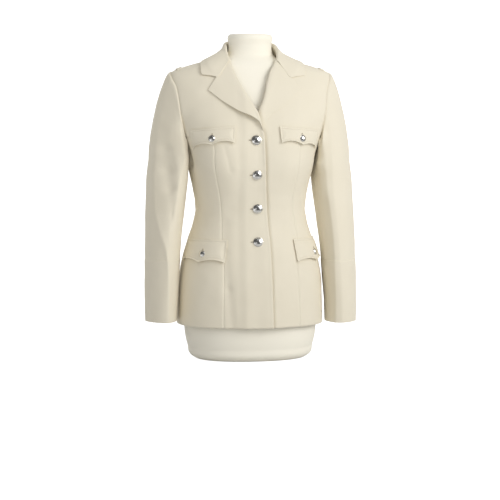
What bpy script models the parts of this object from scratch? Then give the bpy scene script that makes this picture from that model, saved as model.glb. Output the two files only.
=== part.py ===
"""Women's uniform blouse (a single-breasted service jacket) on a limbless dress form.

Metres, +Z up, the front faces -Y. Right and left are the wearer's, so the right side is at -X.
The jacket's cloth is drawn on one smooth body surface, which is a stack of superellipse rings. A place on
it is an angle (degrees, 0 at the centre front, positive towards +X, 180 at the centre back) and a height.
Each cut piece is a patch between seams on that surface, with a wall of its own thickness.
"""

import math

import bmesh
import bpy
import numpy as np

# ---------------------------------------------------------------- driving sizes, metres and degrees

WALL = 0.0020
SEAM_GAP = 0.0003
LAYER_GAP = 0.0006

HEM_HEIGHT = 0.085
ROW_TOP = 0.450
BREAK_HEIGHT = 0.536
ARMPIT_HEIGHT = 0.492
SHOULDER_POINT = (90.0, 0.6895)
BACK_NECK_HEIGHT = 0.737

BACK_ANGLE = 180.0
SKIRT_TURN = 4.2
SKIRT_TURN_TOP = 0.430
SKIRT_TURN_DEPTH = 0.140

BUST_ANGLE = 38.0
BUST_SPREAD = 24.0

OVERLAP_LIFT = 0.0028
OVERLAP_START = -0.046
OVERLAP_FULL = -0.024

CUFF_TOP = 0.2365
CUFF_LIFT = 0.0019
ARMHOLE_STEP = 0.0004

BUTTON_RADIUS = 0.0116
BUTTON_HEIGHT = 0.0062
BUTTON_STAND = 0.0010
FLAP_BUTTON_SCALE = 0.70

BUTTON_SIDES = 14
FLAP_RISE = 0.007
FLAP_ROUND = 0.8
LOOP_CENTRE = 0.1715
LOOP_DEPTH = 0.0020
LOOP_WIDTH = 0.011
LOOP_LENGTH = 0.050
LOOP_RISE = 0.0016
SHOULDER_SEARCH = (0.660, 0.737)
SEARCH_STEPS = 30
SHARP_ANGLE = 40.0

# rows and columns of the patches
ROWS_STRAIGHT = 20
ROWS_CHEST = 6
ROWS_UPPER = 11
ROWS_NECK_FRONT = 3
ROWS_NECK_BACK = 6
COLUMNS_WIDE = 8
COLUMNS_UNDER_ARM = 4
ROWS_SLEEVE_CAP = 7
ROWS_ARM = 8
ROWS_CUFF = 3
# the sleeve's seams, in columns from the two points where the armhole turns under the arm
FRONT_SEAM_DROP = 1
BACK_SEAM_RISE = 2
ROWS_FLAP = 3
COLUMNS_FLAP = 16
COLUMNS_LOOP = 8
FORM_SIDES = 24

# ---------------------------------------------------------------- tables

# jacket body: height, half width, front depth, back depth, squareness, share of extra depth at the bust
BODY = np.array([
    (0.060, 0.1765, 0.128, 0.130, 2.30, 0.000),
    (0.085, 0.1765, 0.128, 0.131, 2.30, 0.000),
    (0.137, 0.1755, 0.126, 0.133, 2.30, 0.000),
    (0.200, 0.1715, 0.122, 0.129, 2.30, 0.000),
    (0.248, 0.1625, 0.115, 0.116, 2.30, 0.000),
    (0.285, 0.1520, 0.108, 0.101, 2.30, 0.000),
    (0.325, 0.1385, 0.102, 0.090, 2.30, 0.000),
    (0.357, 0.1330, 0.101, 0.086, 2.30, 0.010),
    (0.388, 0.1352, 0.104, 0.088, 2.30, 0.030),
    (0.425, 0.1420, 0.111, 0.094, 2.30, 0.065),
    (0.460, 0.1500, 0.117, 0.100, 2.32, 0.095),
    (0.498, 0.1575, 0.118, 0.106, 2.35, 0.095),
    (0.545, 0.1790, 0.113, 0.110, 2.35, 0.060),
    (0.605, 0.1970, 0.098, 0.110, 2.35, 0.020),
    (0.650, 0.1985, 0.080, 0.102, 2.30, 0.000),
    (0.675, 0.1960, 0.067, 0.094, 2.25, 0.000),
    (0.6895, 0.1880, 0.059, 0.088, 2.20, 0.000),
    (0.7033, 0.1530, 0.052, 0.079, 2.15, 0.000),
    (0.7137, 0.1150, 0.046, 0.072, 2.10, 0.000),
    (0.7220, 0.0850, 0.041, 0.067, 2.05, 0.000),
    (0.7275, 0.0660, 0.038, 0.064, 2.00, 0.000),
    (0.7370, 0.0580, 0.036, 0.061, 2.00, 0.000),
])

# dress form inside the jacket: height, half width, front depth, back depth, squareness
FORM = np.array([
    (0.000, 0.1330, 0.093, 0.098, 2.20),
    (0.006, 0.1430, 0.103, 0.108, 2.20),
    (0.030, 0.1520, 0.110, 0.116, 2.20),
    (0.137, 0.1600, 0.112, 0.120, 2.20),
    (0.200, 0.1570, 0.108, 0.115, 2.20),
    (0.285, 0.1390, 0.095, 0.088, 2.20),
    (0.357, 0.1220, 0.089, 0.074, 2.20),
    (0.425, 0.1310, 0.099, 0.082, 2.20),
    (0.498, 0.1460, 0.106, 0.094, 2.20),
    (0.560, 0.1600, 0.098, 0.099, 2.20),
    (0.620, 0.1680, 0.080, 0.098, 2.20),
    (0.655, 0.1690, 0.067, 0.091, 2.20),
    (0.678, 0.1620, 0.056, 0.083, 2.15),
    (0.6930, 0.1520, 0.051, 0.078, 2.10),
    (0.7015, 0.1480, 0.048, 0.075, 2.10),
    (0.7118, 0.1120, 0.042, 0.068, 2.05),
    (0.7185, 0.0800, 0.037, 0.062, 2.00),
    (0.7240, 0.0620, 0.034, 0.058, 2.00),
    (0.7330, 0.0540, 0.034, 0.055, 2.00),
    (0.7480, 0.0515, 0.036, 0.055, 2.00),
    (0.7740, 0.0515, 0.040, 0.055, 2.00),
    (0.7770, 0.0490, 0.038, 0.053, 2.00),
])

# one sleeve: height, centre out from the middle, centre depth, half width, half depth, and how far the front
# crease lies nearer to the body than the centre
SLEEVE = np.array([
    (0.086, 0.2190, -0.026, 0.0370, 0.0480, 0.006),
    (0.130, 0.2185, -0.025, 0.0385, 0.0500, 0.006),
    (0.200, 0.2160, -0.021, 0.0405, 0.0535, 0.007),
    (0.286, 0.2120, -0.014, 0.0435, 0.0580, 0.008),
    (0.340, 0.2080, -0.008, 0.0460, 0.0610, 0.009),
    (0.400, 0.2030, -0.002, 0.0485, 0.0645, 0.011),
    (0.440, 0.2005, 0.001, 0.0490, 0.0675, 0.013),
    (0.478, 0.1995, 0.003, 0.0450, 0.0705, 0.016),
])
# the front half of a ring is almost two flat faces that meet at the crease, the back half is full
SLEEVE_SQUARE_FRONT = 1.62
SLEEVE_SQUARE_BACK = 2.15
SLEEVE_HEAD_REACH = 0.075
SLEEVE_HEAD_DROP = 0.220

# seams that run up the body: height, angle
PRINCESS = np.array([
    (0.085, 38.8),
    (0.231, 40.4),
    (0.314, 46.3),
    (0.408, 43.6),
    (0.500, 42.1),
])
SIDE_BACK = np.array([
    (0.085, 128.0),
    (0.200, 130.0),
    (0.357, 138.0),
    (0.450, 134.0),
])
# the closing edges: height, angle
HIDDEN_EDGE = np.array([
    (0.085, -7.5),
    (0.536, -7.1),
])
FRONT_EDGE = np.array([
    (0.085, 15.0),
    (0.197, 14.6),
    (0.286, 14.9),
    (0.363, 13.0),
    (0.443, 8.9),
    (0.524, 7.3),
    (0.536, 7.1),
])

# short stretches: share of the way, angle, height
UNDER_FLAP = np.array([
    (0.00, 42.1, 0.500),
    (0.45, 55.0, 0.519),
    (1.00, 70.5, 0.532),
])
SIDE_BACK_TOP = np.array([
    (0.00, 134.0, 0.450),
    (0.55, 122.0, 0.520),
    (1.00, 108.5, 0.565),
])
ARMHOLE_FRONT = np.array([
    (0.00, 70.5, 0.532),
    (0.35, 72.2, 0.600),
    (0.65, 78.0, 0.651),
    (0.85, 85.0, 0.680),
    (1.00, 90.0, 0.6895),
])
ARMHOLE_LOW_FRONT = np.array([
    (0.00, 70.5, 0.532),
    (0.50, 76.0, 0.503),
    (1.00, 90.0, 0.492),
])
ARMHOLE_LOW_BACK = np.array([
    (0.00, 90.0, 0.492),
    (0.50, 102.5, 0.510),
    (1.00, 108.5, 0.565),
])
ARMHOLE_BACK = np.array([
    (0.00, 108.5, 0.565),
    (0.30, 107.5, 0.610),
    (0.62, 102.0, 0.655),
    (0.85, 95.0, 0.681),
    (1.00, 90.0, 0.6895),
])
RIGHT_ROLL = np.array([
    (0.00, 7.1, 0.536),
    (0.26, 0.6, 0.589),
    (0.46, -11.7, 0.623),
    (0.78, -34.9, 0.675),
    (1.00, -49.8, 0.707),
])
LEFT_ROLL = np.array([
    (0.00, -7.1, 0.536),
    (0.28, 0.8, 0.589),
    (0.46, 8.6, 0.623),
    (0.64, 18.8, 0.6545),
    (0.84, 34.5, 0.687),
    (1.00, 49.8, 0.707),
])
NECK_FRONT = np.array([
    (0.00, 49.8, 0.707),
    (0.45, 68.0, 0.7195),
    (1.00, 90.0, 0.7275),
])
NECK_BACK = np.array([
    (0.00, 180.0, 0.7370),
    (0.50, 135.0, 0.7350),
    (1.00, 90.0, 0.7275),
])

# outer edge of each lapel, from the end at the front edge to the tip: share, angle, height
RIGHT_LAPEL_EDGE = np.array([
    (0.00, 7.4, 0.535),
    (0.14, 5.6, 0.552),
    (0.24, 0.8, 0.566),
    (0.34, -6.5, 0.5745),
    (0.52, -20.7, 0.5875),
    (0.76, -39.8, 0.6125),
    (1.00, -56.3, 0.640),
])
LEFT_LAPEL_EDGE = np.array([
    (0.00, 9.2, 0.5615),
    (0.20, 15.0, 0.580),
    (0.45, 26.0, 0.594),
    (0.72, 40.0, 0.614),
    (1.00, 55.6, 0.641),
])
RIGHT_LAPEL_START = 0.05
LEFT_LAPEL_START = 0.33
LAPEL_FIRST_STEP = 0.02
LAPEL_PUFF = 0.0030
LAPEL_END_GAP = 0.0006
# across a lapel: share of the way out, push past the roll line, lift over the cloth below
LAPEL_SECTION = np.array([
    (0.00, 0.0024, -0.0038),
    (0.00, 0.0024, -0.0012),
    (0.00, 0.0014, 0.0012),
    (0.05, 0.0000, 0.0022),
    (0.20, 0.0000, 0.0020),
    (0.42, 0.0000, 0.0010),
    (0.70, 0.0000, 0.0003),
    (1.00, 0.0000, 0.0000),
])

# half of the collar from the lapel to the centre back: share of the neck seam, fold out, fold depth and
# fold height, then angle and height of the leaf's edge
COLLAR = np.array([
    (0.00, 0.0578, -0.0502, 0.7100, 65.2, 0.6800),
    (0.16, 0.0615, -0.0370, 0.7270, 73.3, 0.7040),
    (0.245, 0.0630, -0.0270, 0.7370, 82.0, 0.7134),
    (0.33, 0.0638, -0.0150, 0.7470, 90.0, 0.7178),
    (0.55, 0.0590, 0.0250, 0.7650, 118.0, 0.7175),
    (0.78, 0.0350, 0.0550, 0.7750, 150.0, 0.7160),
    (1.00, 0.0000, 0.0650, 0.7780, 180.0, 0.7150),
])
NOTCH = np.array([54.0, 0.6720])
COLLAR_SHOULDER = 0.33
COLLAR_START = 0.055
COLLAR_END_GAP = 0.0006
COLLAR_TURN = 0.0022
COLLAR_FOOT_IN = 0.0006
COLLAR_LEAF = (0.25, 0.5, 0.75, 1.0)
COLLAR_FALL = 1.6
COLLAR_LIFT = 0.0034
COLLAR_STATIONS_FRONT = 3
COLLAR_STATIONS_BACK = 6

# flaps of the right side: share along from the inner to the outer end, angle, top height, bottom height
CHEST_FLAP = np.array([
    (0.0, 24.6, 0.5560, 0.5165),
    (0.5, 44.0, 0.5525, 0.5125),
    (1.0, 64.3, 0.5480, 0.5045),
])
LOWER_FLAP = np.array([
    (0.0, 39.4, 0.2905, 0.2365),
    (0.5, 63.5, 0.2905, 0.2365),
    (1.0, 87.0, 0.2905, 0.2375),
])
CHEST_BUTTON = (44.5, 0.5275)
LOWER_BUTTON = (64.0, 0.2570)
FRONT_BUTTONS = np.array([
    (-2.0, 0.5240),
    (-0.8, 0.4435),
    (0.9, 0.3635),
    (0.9, 0.2855),
])

# a button's section: share of its radius, share of its height
BUTTON_PROFILE = (
    (0.00, 0.00),
    (0.80, 0.00),
    (1.00, 0.10),
    (1.00, 0.24),
    (0.90, 0.42),
    (0.68, 0.72),
    (0.38, 0.93),
    (0.00, 1.00),
)

# colours (linear), roughness, metallic
CLOTH = ("ivory_cloth", (0.815, 0.765, 0.655), 0.85, 0.0)
METAL = ("silver_metal", (0.72, 0.72, 0.70), 0.25, 1.0)
FORM_COVER = ("form_cover", (0.86, 0.82, 0.70), 0.80, 0.0)


# ---------------------------------------------------------------- curves and the body surface

def read(table, at):
    """Reads a table at its first column, smoothly: one value for each other column."""
    keys = table[:, 0]
    values = table[:, 1:]
    width = np.diff(keys)
    slope = np.diff(values, axis=0) / width[:, None]
    tangent = np.zeros_like(values)
    tangent[0] = slope[0]
    tangent[-1] = slope[-1]
    if len(keys) > 2:
        before = slope[:-1] * width[1:, None]
        after = slope[1:] * width[:-1, None]
        tangent[1:-1] = (before + after) / (width[:-1] + width[1:])[:, None]
    at = np.clip(np.asarray(at, float), keys[0], keys[-1])
    k = np.clip(np.searchsorted(keys, at, side="right") - 1, 0, len(keys) - 2)
    s = ((at - keys[k]) / width[k])[..., None]
    w = width[k][..., None]
    start = (2 * s**3 - 3 * s**2 + 1) * values[k] + (s**3 - 2 * s**2 + s) * w * tangent[k]
    end = (3 * s**2 - 2 * s**3) * values[k + 1] + (s**3 - s**2) * w * tangent[k + 1]
    return start + end


def smoothstep(value):
    t = np.clip(value, 0.0, 1.0)
    return t * t * (3 - 2 * t)


def ring_point(angle, half_width, front, back, square):
    """A point of a superellipse ring, whose front and back halves have their own depths."""
    a = np.radians(angle)
    depth = np.where(np.cos(a) > 0, front, back)
    reach = np.abs(np.cos(a) / depth) ** square + np.abs(np.sin(a) / half_width) ** square
    radius = reach ** (-1 / square)
    return radius * np.sin(a), -radius * np.cos(a)


def body_point(angle, height):
    """The point of the jacket's outer surface at an angle and a height."""
    angle, height = np.broadcast_arrays(np.asarray(angle, float), np.asarray(height, float))
    half_width, front, back, square, bust = np.moveaxis(read(BODY, height), -1, 0)
    x, y = ring_point(angle, half_width, front, back, square)
    fall = np.exp(-(((np.abs(angle) - BUST_ANGLE) / BUST_SPREAD) ** 2))
    swell = 1 + bust * fall * (np.cos(np.radians(angle)) > 0)
    return np.stack([x * swell, y * swell, height + 0 * x], -1)


def body_normal(angle, height):
    """The outward unit normal of the jacket's surface."""
    turn = 0.02
    rise = 0.0002
    across = body_point(np.asarray(angle) + turn, height) - body_point(np.asarray(angle) - turn, height)
    up = body_point(angle, np.asarray(height) + rise) - body_point(angle, np.asarray(height) - rise)
    return unit(np.cross(across, up))


def unit(vectors):
    return vectors / np.maximum(np.linalg.norm(vectors, axis=-1, keepdims=True), 1e-12)


def skirt_turn(height):
    """The jacket's lower part sits turned a little towards +X on the form."""
    return SKIRT_TURN * smoothstep((SKIRT_TURN_TOP - np.asarray(height)) / SKIRT_TURN_DEPTH)


def overlap_lift(points):
    """How far the right front stands off the body, where it lies over the left front."""
    share = (points[..., 0] - OVERLAP_START) / (OVERLAP_FULL - OVERLAP_START)
    return OVERLAP_LIFT * smoothstep(share)


# ---------------------------------------------------------------- seams, as rows of (angle, height)

def stretch(table, count, skip_first=True):
    """A short stretch of seam with count equal steps."""
    at = np.linspace(0, 1, count + 1)
    rows = read(table, at)
    return rows[1:] if skip_first else rows


def straight_rows():
    return np.linspace(HEM_HEIGHT, ROW_TOP, ROWS_STRAIGHT + 1)


def rows_up(top):
    """Heights of a seam's points from the hem to ROW_TOP, and in ROWS_CHEST steps to the height top."""
    return np.concatenate([straight_rows(), np.linspace(ROW_TOP, top, ROWS_CHEST + 1)[1:]])


def sided(rows, side):
    return rows * np.array([side, 1.0])


def princess_seam(side):
    """From the hem to the chest, then out under the chest flap to the armhole."""
    half = ROWS_CHEST // 2
    low = np.concatenate([straight_rows(), np.linspace(ROW_TOP, PRINCESS[-1, 0], half + 1)[1:]])
    angles = side * read(PRINCESS, low)[..., 0] + skirt_turn(low)
    rows = np.stack([angles, low], -1)
    return np.concatenate([rows, sided(stretch(UNDER_FLAP, ROWS_CHEST - half), side)])


def centre_back_seam(side, top):
    heights = rows_up(top)
    return np.stack([np.full_like(heights, side * BACK_ANGLE), heights], -1)


def side_back_seam(side):
    low = straight_rows()
    rows = np.stack([side * read(SIDE_BACK, low)[..., 0], low], -1)
    return np.concatenate([rows, sided(stretch(SIDE_BACK_TOP, ROWS_CHEST), side)])


def front_edge(side):
    """The closing edge, from the hem to the break of the lapel."""
    heights = rows_up(BREAK_HEIGHT)
    table = FRONT_EDGE if side < 0 else HIDDEN_EDGE
    return np.stack([read(table, heights)[..., 0], heights], -1)


def roll_line(side):
    return RIGHT_ROLL if side < 0 else LEFT_ROLL


# ---------------------------------------------------------------- patches

def patch(left, right, bottom, top):
    """A Coons patch of (angle, height) between four rows of points that share their corners."""
    v = np.linspace(0, 1, len(left))[:, None, None]
    u = np.linspace(0, 1, len(bottom))[None, :, None]
    sides = (1 - u) * left[:, None] + u * right[:, None]
    ends = (1 - v) * bottom[None] + v * top[None]
    low = (1 - u) * left[0] + u * right[0]
    high = (1 - u) * left[-1] + u * right[-1]
    return sides + ends - ((1 - v) * low + v * high)


def line(start, end, count):
    return np.linspace(start, end, count + 1)


def draw_in(points, distance=SEAM_GAP / 2):
    """Moves the four edges of a grid of points inwards, square to each edge, which leaves the seam's gap."""
    out = points.copy()
    normals = grid_normals(points)
    edges = ((0, slice(None)), (-1, slice(None)), (slice(None), 0), (slice(None), -1))
    beside = ((1, slice(None)), (-2, slice(None)), (slice(None), 1), (slice(None), -2))
    for edge, near in zip(edges, beside):
        inward = unit(np.cross(normals[edge], np.gradient(points[edge], axis=0)))
        side = np.sign(np.sum(inward * (points[near] - points[edge]), axis=-1, keepdims=True))
        out[edge] += distance * inward * side
    return out


def grid_normals(points, wrap=False):
    """Unit normals of a grid of points: columns run across, rows run up."""
    if wrap:
        across = np.roll(points, -1, axis=1) - np.roll(points, 1, axis=1)
    else:
        across = np.gradient(points, axis=1)
    return unit(np.cross(across, np.gradient(points, axis=0)))


def on_body(grid, lift=0.0):
    """Outer and inner points of a wall on the body surface, lifted by a number or a grid of numbers."""
    points = body_point(grid[..., 0], grid[..., 1])
    normals = body_normal(grid[..., 0], grid[..., 1])
    lift = np.asarray(lift)[..., None] if np.ndim(lift) else lift
    outer = points + normals * lift
    return outer, outer - normals * WALL


# ---------------------------------------------------------------- objects

def material(finish):
    name, colour, roughness, metallic = finish
    found = bpy.data.materials.get(name)
    if found:
        return found
    made = bpy.data.materials.new(name)
    made.use_nodes = True
    shader = made.node_tree.nodes["Principled BSDF"]
    shader.inputs["Base Color"].default_value = (*colour, 1.0)
    shader.inputs["Roughness"].default_value = roughness
    shader.inputs["Metallic"].default_value = metallic
    return made


def add_object(name, points, faces, finish):
    mesh = bpy.data.meshes.new(name)
    shape = bmesh.new()
    corners = [shape.verts.new(tuple(p)) for p in points]
    for face in faces:
        shape.faces.new([corners[k] for k in face])
    bmesh.ops.recalc_face_normals(shape, faces=shape.faces[:])
    shape.to_mesh(mesh)
    shape.free()
    mesh.shade_smooth()
    mesh.set_sharp_from_angle(angle=math.radians(SHARP_ANGLE))
    mesh.materials.append(material(finish))
    made = bpy.data.objects.new(name, mesh)
    bpy.context.scene.collection.objects.link(made)
    return made


def wall(name, outer, inner, finish=CLOTH, wrap=False):
    """A closed wall between two grids of points of one size."""
    rows, columns = outer.shape[:2]
    inside = rows * columns
    faces = []
    last = columns if wrap else columns - 1
    for i in range(rows - 1):
        for j in range(last):
            a = i * columns + j
            b = i * columns + (j + 1) % columns
            c = b + columns
            d = a + columns
            faces.append((a, b, c, d))
            faces.append((inside + d, inside + c, inside + b, inside + a))
    for j in range(last):
        a = j
        b = (j + 1) % columns
        faces.append((inside + a, inside + b, b, a))
        top = (rows - 1) * columns
        faces.append((top + a, top + b, inside + top + b, inside + top + a))
    if not wrap:
        for i in range(rows - 1):
            a = i * columns
            d = a + columns
            faces.append((a, d, inside + d, inside + a))
            b = a + columns - 1
            c = b + columns
            faces.append((inside + b, inside + c, c, b))
    points = np.concatenate([outer.reshape(-1, 3), inner.reshape(-1, 3)])
    return add_object(name, points, faces, finish)


def body_panel(name, grid, lift=0.0):
    """A body panel whose grid of (angle, height) runs from the centre front or back outwards."""
    outer, inner = on_body(grid, lift)
    outer = draw_in(outer)
    inner = draw_in(inner)
    return wall(name, outer, inner)


def side_name(side):
    return "right" if side < 0 else "left"


# ---------------------------------------------------------------- body pieces

def front_panel(side):
    edge = front_edge(side)
    roll = read(roll_line(side), np.linspace(0, 1, ROWS_UPPER - ROWS_NECK_FRONT + 1))[1:]
    neck = sided(stretch(NECK_FRONT, ROWS_NECK_FRONT), side)
    inner_edge = np.concatenate([edge, roll, neck])
    outer_edge = np.concatenate([princess_seam(side), sided(stretch(ARMHOLE_FRONT, ROWS_UPPER), side)])
    hem = line(inner_edge[0], outer_edge[0], COLUMNS_WIDE)
    shoulder = line(inner_edge[-1], outer_edge[-1], COLUMNS_WIDE)
    grid = patch(inner_edge, outer_edge, hem, shoulder)
    lift = overlap_lift(body_point(grid[..., 0], grid[..., 1])) if side < 0 else 0.0
    return body_panel(side_name(side) + "_front", grid, lift)


def side_panel(side):
    """From the princess seam round under the arm to the side back seam."""
    front = princess_seam(side)
    back = side_back_seam(side)
    hem = line(front[0], back[0], 2 * COLUMNS_UNDER_ARM)
    low_front = sided(stretch(ARMHOLE_LOW_FRONT, COLUMNS_UNDER_ARM, skip_first=False), side)
    low_back = sided(stretch(ARMHOLE_LOW_BACK, COLUMNS_UNDER_ARM), side)
    armhole = np.concatenate([low_front, low_back])
    return body_panel(side_name(side) + "_side", patch(front, back, hem, armhole))


def back_panel(side):
    rows_centre = ROWS_UPPER - ROWS_NECK_BACK
    low = centre_back_seam(side, SIDE_BACK_TOP[-1, 2])
    high = line(low[-1], (side * BACK_ANGLE, BACK_NECK_HEIGHT), rows_centre)[1:]
    neck = sided(stretch(NECK_BACK, ROWS_NECK_BACK), side)
    inner_edge = np.concatenate([low, high, neck])
    outer_edge = np.concatenate([side_back_seam(side), sided(stretch(ARMHOLE_BACK, ROWS_UPPER), side)])
    hem = line(inner_edge[0], outer_edge[0], COLUMNS_WIDE)
    shoulder = line(inner_edge[-1], outer_edge[-1], COLUMNS_WIDE)
    return body_panel(side_name(side) + "_back", patch(inner_edge, outer_edge, hem, shoulder))


# ---------------------------------------------------------------- lapels and collar

def lapel(side):
    """The turned-back top of a front: a leaf that starts with a roll past the front's edge."""
    start = RIGHT_LAPEL_START if side < 0 else LEFT_LAPEL_START
    edge_table = RIGHT_LAPEL_EDGE if side < 0 else LEFT_LAPEL_EDGE
    rows = np.linspace(0, 1, ROWS_UPPER - ROWS_NECK_FRONT + 1)
    rows = np.concatenate([[start], rows[rows > start + LAPEL_FIRST_STEP]])
    along = (rows - start) / (1 - start)
    roll = read(roll_line(side), rows)
    edge = read(edge_table, along)
    share = LAPEL_SECTION[:, 0][None, :, None]
    grid = (1 - share) * roll[:, None] + share * edge[:, None]
    points = body_point(grid[..., 0], grid[..., 1])
    normals = body_normal(grid[..., 0], grid[..., 1])
    base = overlap_lift(points) if side < 0 else np.zeros(points.shape[:2])
    puff = LAPEL_PUFF * smoothstep(1 - along)[:, None] * np.sin(np.pi * LAPEL_SECTION[:, 0])[None]
    lift = base + WALL + LAYER_GAP + LAPEL_SECTION[:, 2][None] + puff
    past = unit(np.cross(normals[:, 0], np.gradient(points[:, 0], axis=0))) * side
    outer = points + normals * lift[..., None] + past[:, None] * LAPEL_SECTION[:, 1][None, :, None]
    outer = draw_in(outer, LAPEL_END_GAP)
    inner = outer - side * grid_normals(outer) * WALL
    return wall(side_name(side) + "_lapel", outer, inner)


def collar_half(side):
    """Grid of the collar's outer face for one side: rows from the lapel to the centre back."""
    front = read(NECK_FRONT, np.linspace(COLLAR_START, 1, COLLAR_STATIONS_FRONT + 1))
    back = stretch(NECK_BACK, COLLAR_STATIONS_BACK, skip_first=False)[-2::-1]
    seam = np.concatenate([front, back])
    share = np.concatenate([
        np.linspace(0, COLLAR_SHOULDER, COLLAR_STATIONS_FRONT + 1),
        np.linspace(COLLAR_SHOULDER, 1, COLLAR_STATIONS_BACK + 1)[1:],
    ])
    values = read(COLLAR, share)
    fold = values[:, :3]
    edge = values[:, 3:]
    foot = body_point(seam[:, 0], seam[:, 1])
    away = unit(fold * np.array([1, 1, 0]))
    foot = foot - away * COLLAR_FOOT_IN + np.array([0, 0, SEAM_GAP])
    inside = fold - away * COLLAR_TURN - np.array([0, 0, COLLAR_TURN])
    outside = fold + away * COLLAR_TURN - np.array([0, 0, COLLAR_TURN])
    flat = 1 - smoothstep(share / COLLAR_SHOULDER)[:, None]
    columns = [foot, (foot + inside) / 2, inside, fold, outside]
    seam_lift = body_normal(seam[:, 0], seam[:, 1]) * COLLAR_LIFT
    hold = outside - body_point(seam[:, 0], seam[:, 1]) - seam_lift
    for t in COLLAR_LEAF:
        straight = (1 - t) * seam + t * edge
        bend = seam[0] + (NOTCH - seam[0]) * 2 * t if t <= 0.5 else NOTCH + (edge[0] - NOTCH) * (2 * t - 1)
        place = straight + flat * (bend - straight[0])
        lift = body_normal(place[:, 0], place[:, 1]) * COLLAR_LIFT
        columns.append(body_point(place[:, 0], place[:, 1]) + lift + hold * (1 - t) ** COLLAR_FALL)
    return np.stack(columns, axis=1) * np.array([side, 1, 1])


def collar():
    """Stand, fold and leaf in one strip that runs round the neck from lapel to lapel."""
    left = collar_half(1)
    right = collar_half(-1)
    outer = np.concatenate([right, left[-2::-1]])
    outer = draw_in(outer, COLLAR_END_GAP)
    normals = grid_normals(outer)
    inner = outer - normals * WALL
    return wall("collar", outer, inner)


# ---------------------------------------------------------------- sleeves and cuffs

def armhole_points():
    """The armhole from the shoulder point down the front, under the arm and up the back."""
    front = stretch(ARMHOLE_FRONT, ROWS_UPPER, skip_first=False)[::-1]
    low_front = stretch(ARMHOLE_LOW_FRONT, COLUMNS_UNDER_ARM)
    low_back = stretch(ARMHOLE_LOW_BACK, COLUMNS_UNDER_ARM)
    back = stretch(ARMHOLE_BACK, ROWS_UPPER)[:-1]
    loop = np.concatenate([front, low_front, low_back, back])
    return body_point(loop[:, 0], loop[:, 1]) + np.array([ARMHOLE_STEP, 0, 0])


def sleeve_ring(height, bearing):
    """A ring of the sleeve: bearing 0 points away from the body and 90 to the front."""
    out, depth, half_width, half_depth, lean = np.moveaxis(read(SLEEVE, height), -1, 0)
    across = np.cos(np.radians(bearing))
    forward = np.sin(np.radians(bearing))
    power = 2 / np.where(forward > 0, SLEEVE_SQUARE_FRONT, SLEEVE_SQUARE_BACK)
    x = out + half_width * np.sign(across) * np.abs(across) ** power - lean * np.maximum(forward, 0) ** 2
    y = depth - half_depth * np.sign(forward) * np.abs(forward) ** power
    return np.stack([x, y, np.broadcast_to(height, x.shape)], -1)


def sleeve_bearings(armhole):
    """Bearings that share the ring out as the armhole shares out its own length."""
    steps = np.linalg.norm(np.roll(armhole, -1, axis=0) - armhole, axis=1)
    along = np.concatenate([[0], np.cumsum(steps)])
    bottom = ROWS_UPPER + COLUMNS_UNDER_ARM
    front = along[:-1] / along[bottom] * 180
    back = 180 + (along[:-1] - along[bottom]) / (along[-1] - along[bottom]) * 180
    return np.where(np.arange(len(armhole)) <= bottom, front, back)


def sleeve_grid():
    """Outer points of the sleeve on the +X side: rows from the armhole to the cuff."""
    start = armhole_points()
    bearing = sleeve_bearings(start)
    top = SLEEVE[-1, 0]
    end = sleeve_ring(np.full_like(bearing, top), bearing)
    rise = smoothstep((start[:, 2] - ARMPIT_HEIGHT) / (SHOULDER_POINT[1] - ARMPIT_HEIGHT))
    chord = np.linalg.norm(end - start, axis=1)
    leave = np.stack([SLEEVE_HEAD_REACH * rise, 0 * rise, -(1 - rise) * chord], -1)
    arrive = np.stack([0 * chord, 0 * chord, -np.minimum(chord, SLEEVE_HEAD_DROP)], -1)
    rows = []
    for s in np.linspace(0, 1, ROWS_SLEEVE_CAP + 1):
        row = (2 * s**3 - 3 * s**2 + 1) * start + (s**3 - 2 * s**2 + s) * leave
        row = row + (3 * s**2 - 2 * s**3) * end + (s**3 - s**2) * arrive
        rows.append(row)
    for height in np.linspace(top, CUFF_TOP, ROWS_ARM + 1)[1:]:
        rows.append(sleeve_ring(np.full_like(bearing, height), bearing))
    return np.array(rows)


def sleeve(side):
    """Top and under sleeve, split at the front and back seams."""
    points = sleeve_grid()[::-1]
    front_split = ROWS_UPPER + FRONT_SEAM_DROP
    back_split = ROWS_UPPER + 2 * COLUMNS_UNDER_ARM + BACK_SEAM_RISE
    normals = grid_normals(points, wrap=True)
    inside = points + normals * WALL
    mirror = np.array([side, 1, 1])
    around = list(range(back_split, points.shape[1])) + list(range(0, front_split + 1))
    under = list(range(front_split, back_split + 1))
    for name, columns in (("_top_sleeve", around), ("_under_sleeve", under)):
        outer = draw_in(points[:, columns]) * mirror
        inner = draw_in(inside[:, columns]) * mirror
        wall(side_name(side) + name, outer, inner)


def cuff(side):
    bearing = sleeve_bearings(armhole_points())
    rows = []
    for height in np.linspace(SLEEVE[0, 0], CUFF_TOP - SEAM_GAP, ROWS_CUFF + 1):
        rows.append(sleeve_ring(np.full_like(bearing, height), bearing))
    points = np.array(rows)
    normals = -grid_normals(points, wrap=True)
    outer = (points + normals * CUFF_LIFT) * np.array([side, 1, 1])
    inside = (points + normals * (CUFF_LIFT - WALL)) * np.array([side, 1, 1])
    return wall(side_name(side) + "_cuff", outer, inside, wrap=True)


# ---------------------------------------------------------------- flaps, loops and buttons

def flap_grid(table, side, turned):
    """A flap with three points along its bottom edge."""
    along = np.linspace(0, 1, COLUMNS_FLAP + 1)
    angle, top, bottom = read(table, along).T
    bottom = bottom + FLAP_RISE * np.abs(np.sin(2 * np.pi * along)) ** FLAP_ROUND
    up = np.linspace(0, 1, ROWS_FLAP + 1)[:, None]
    height = (1 - up) * bottom[None] + up * top[None]
    angles = np.broadcast_to(side * angle[None], height.shape)
    if turned:
        angles = angles + skirt_turn(height)
    return np.stack([angles, height], -1)


def flap(name, table, side, turned):
    grid = flap_grid(table, side, turned)
    outer, inner = on_body(grid, WALL + LAYER_GAP)
    return wall(name, outer, inner)


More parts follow.
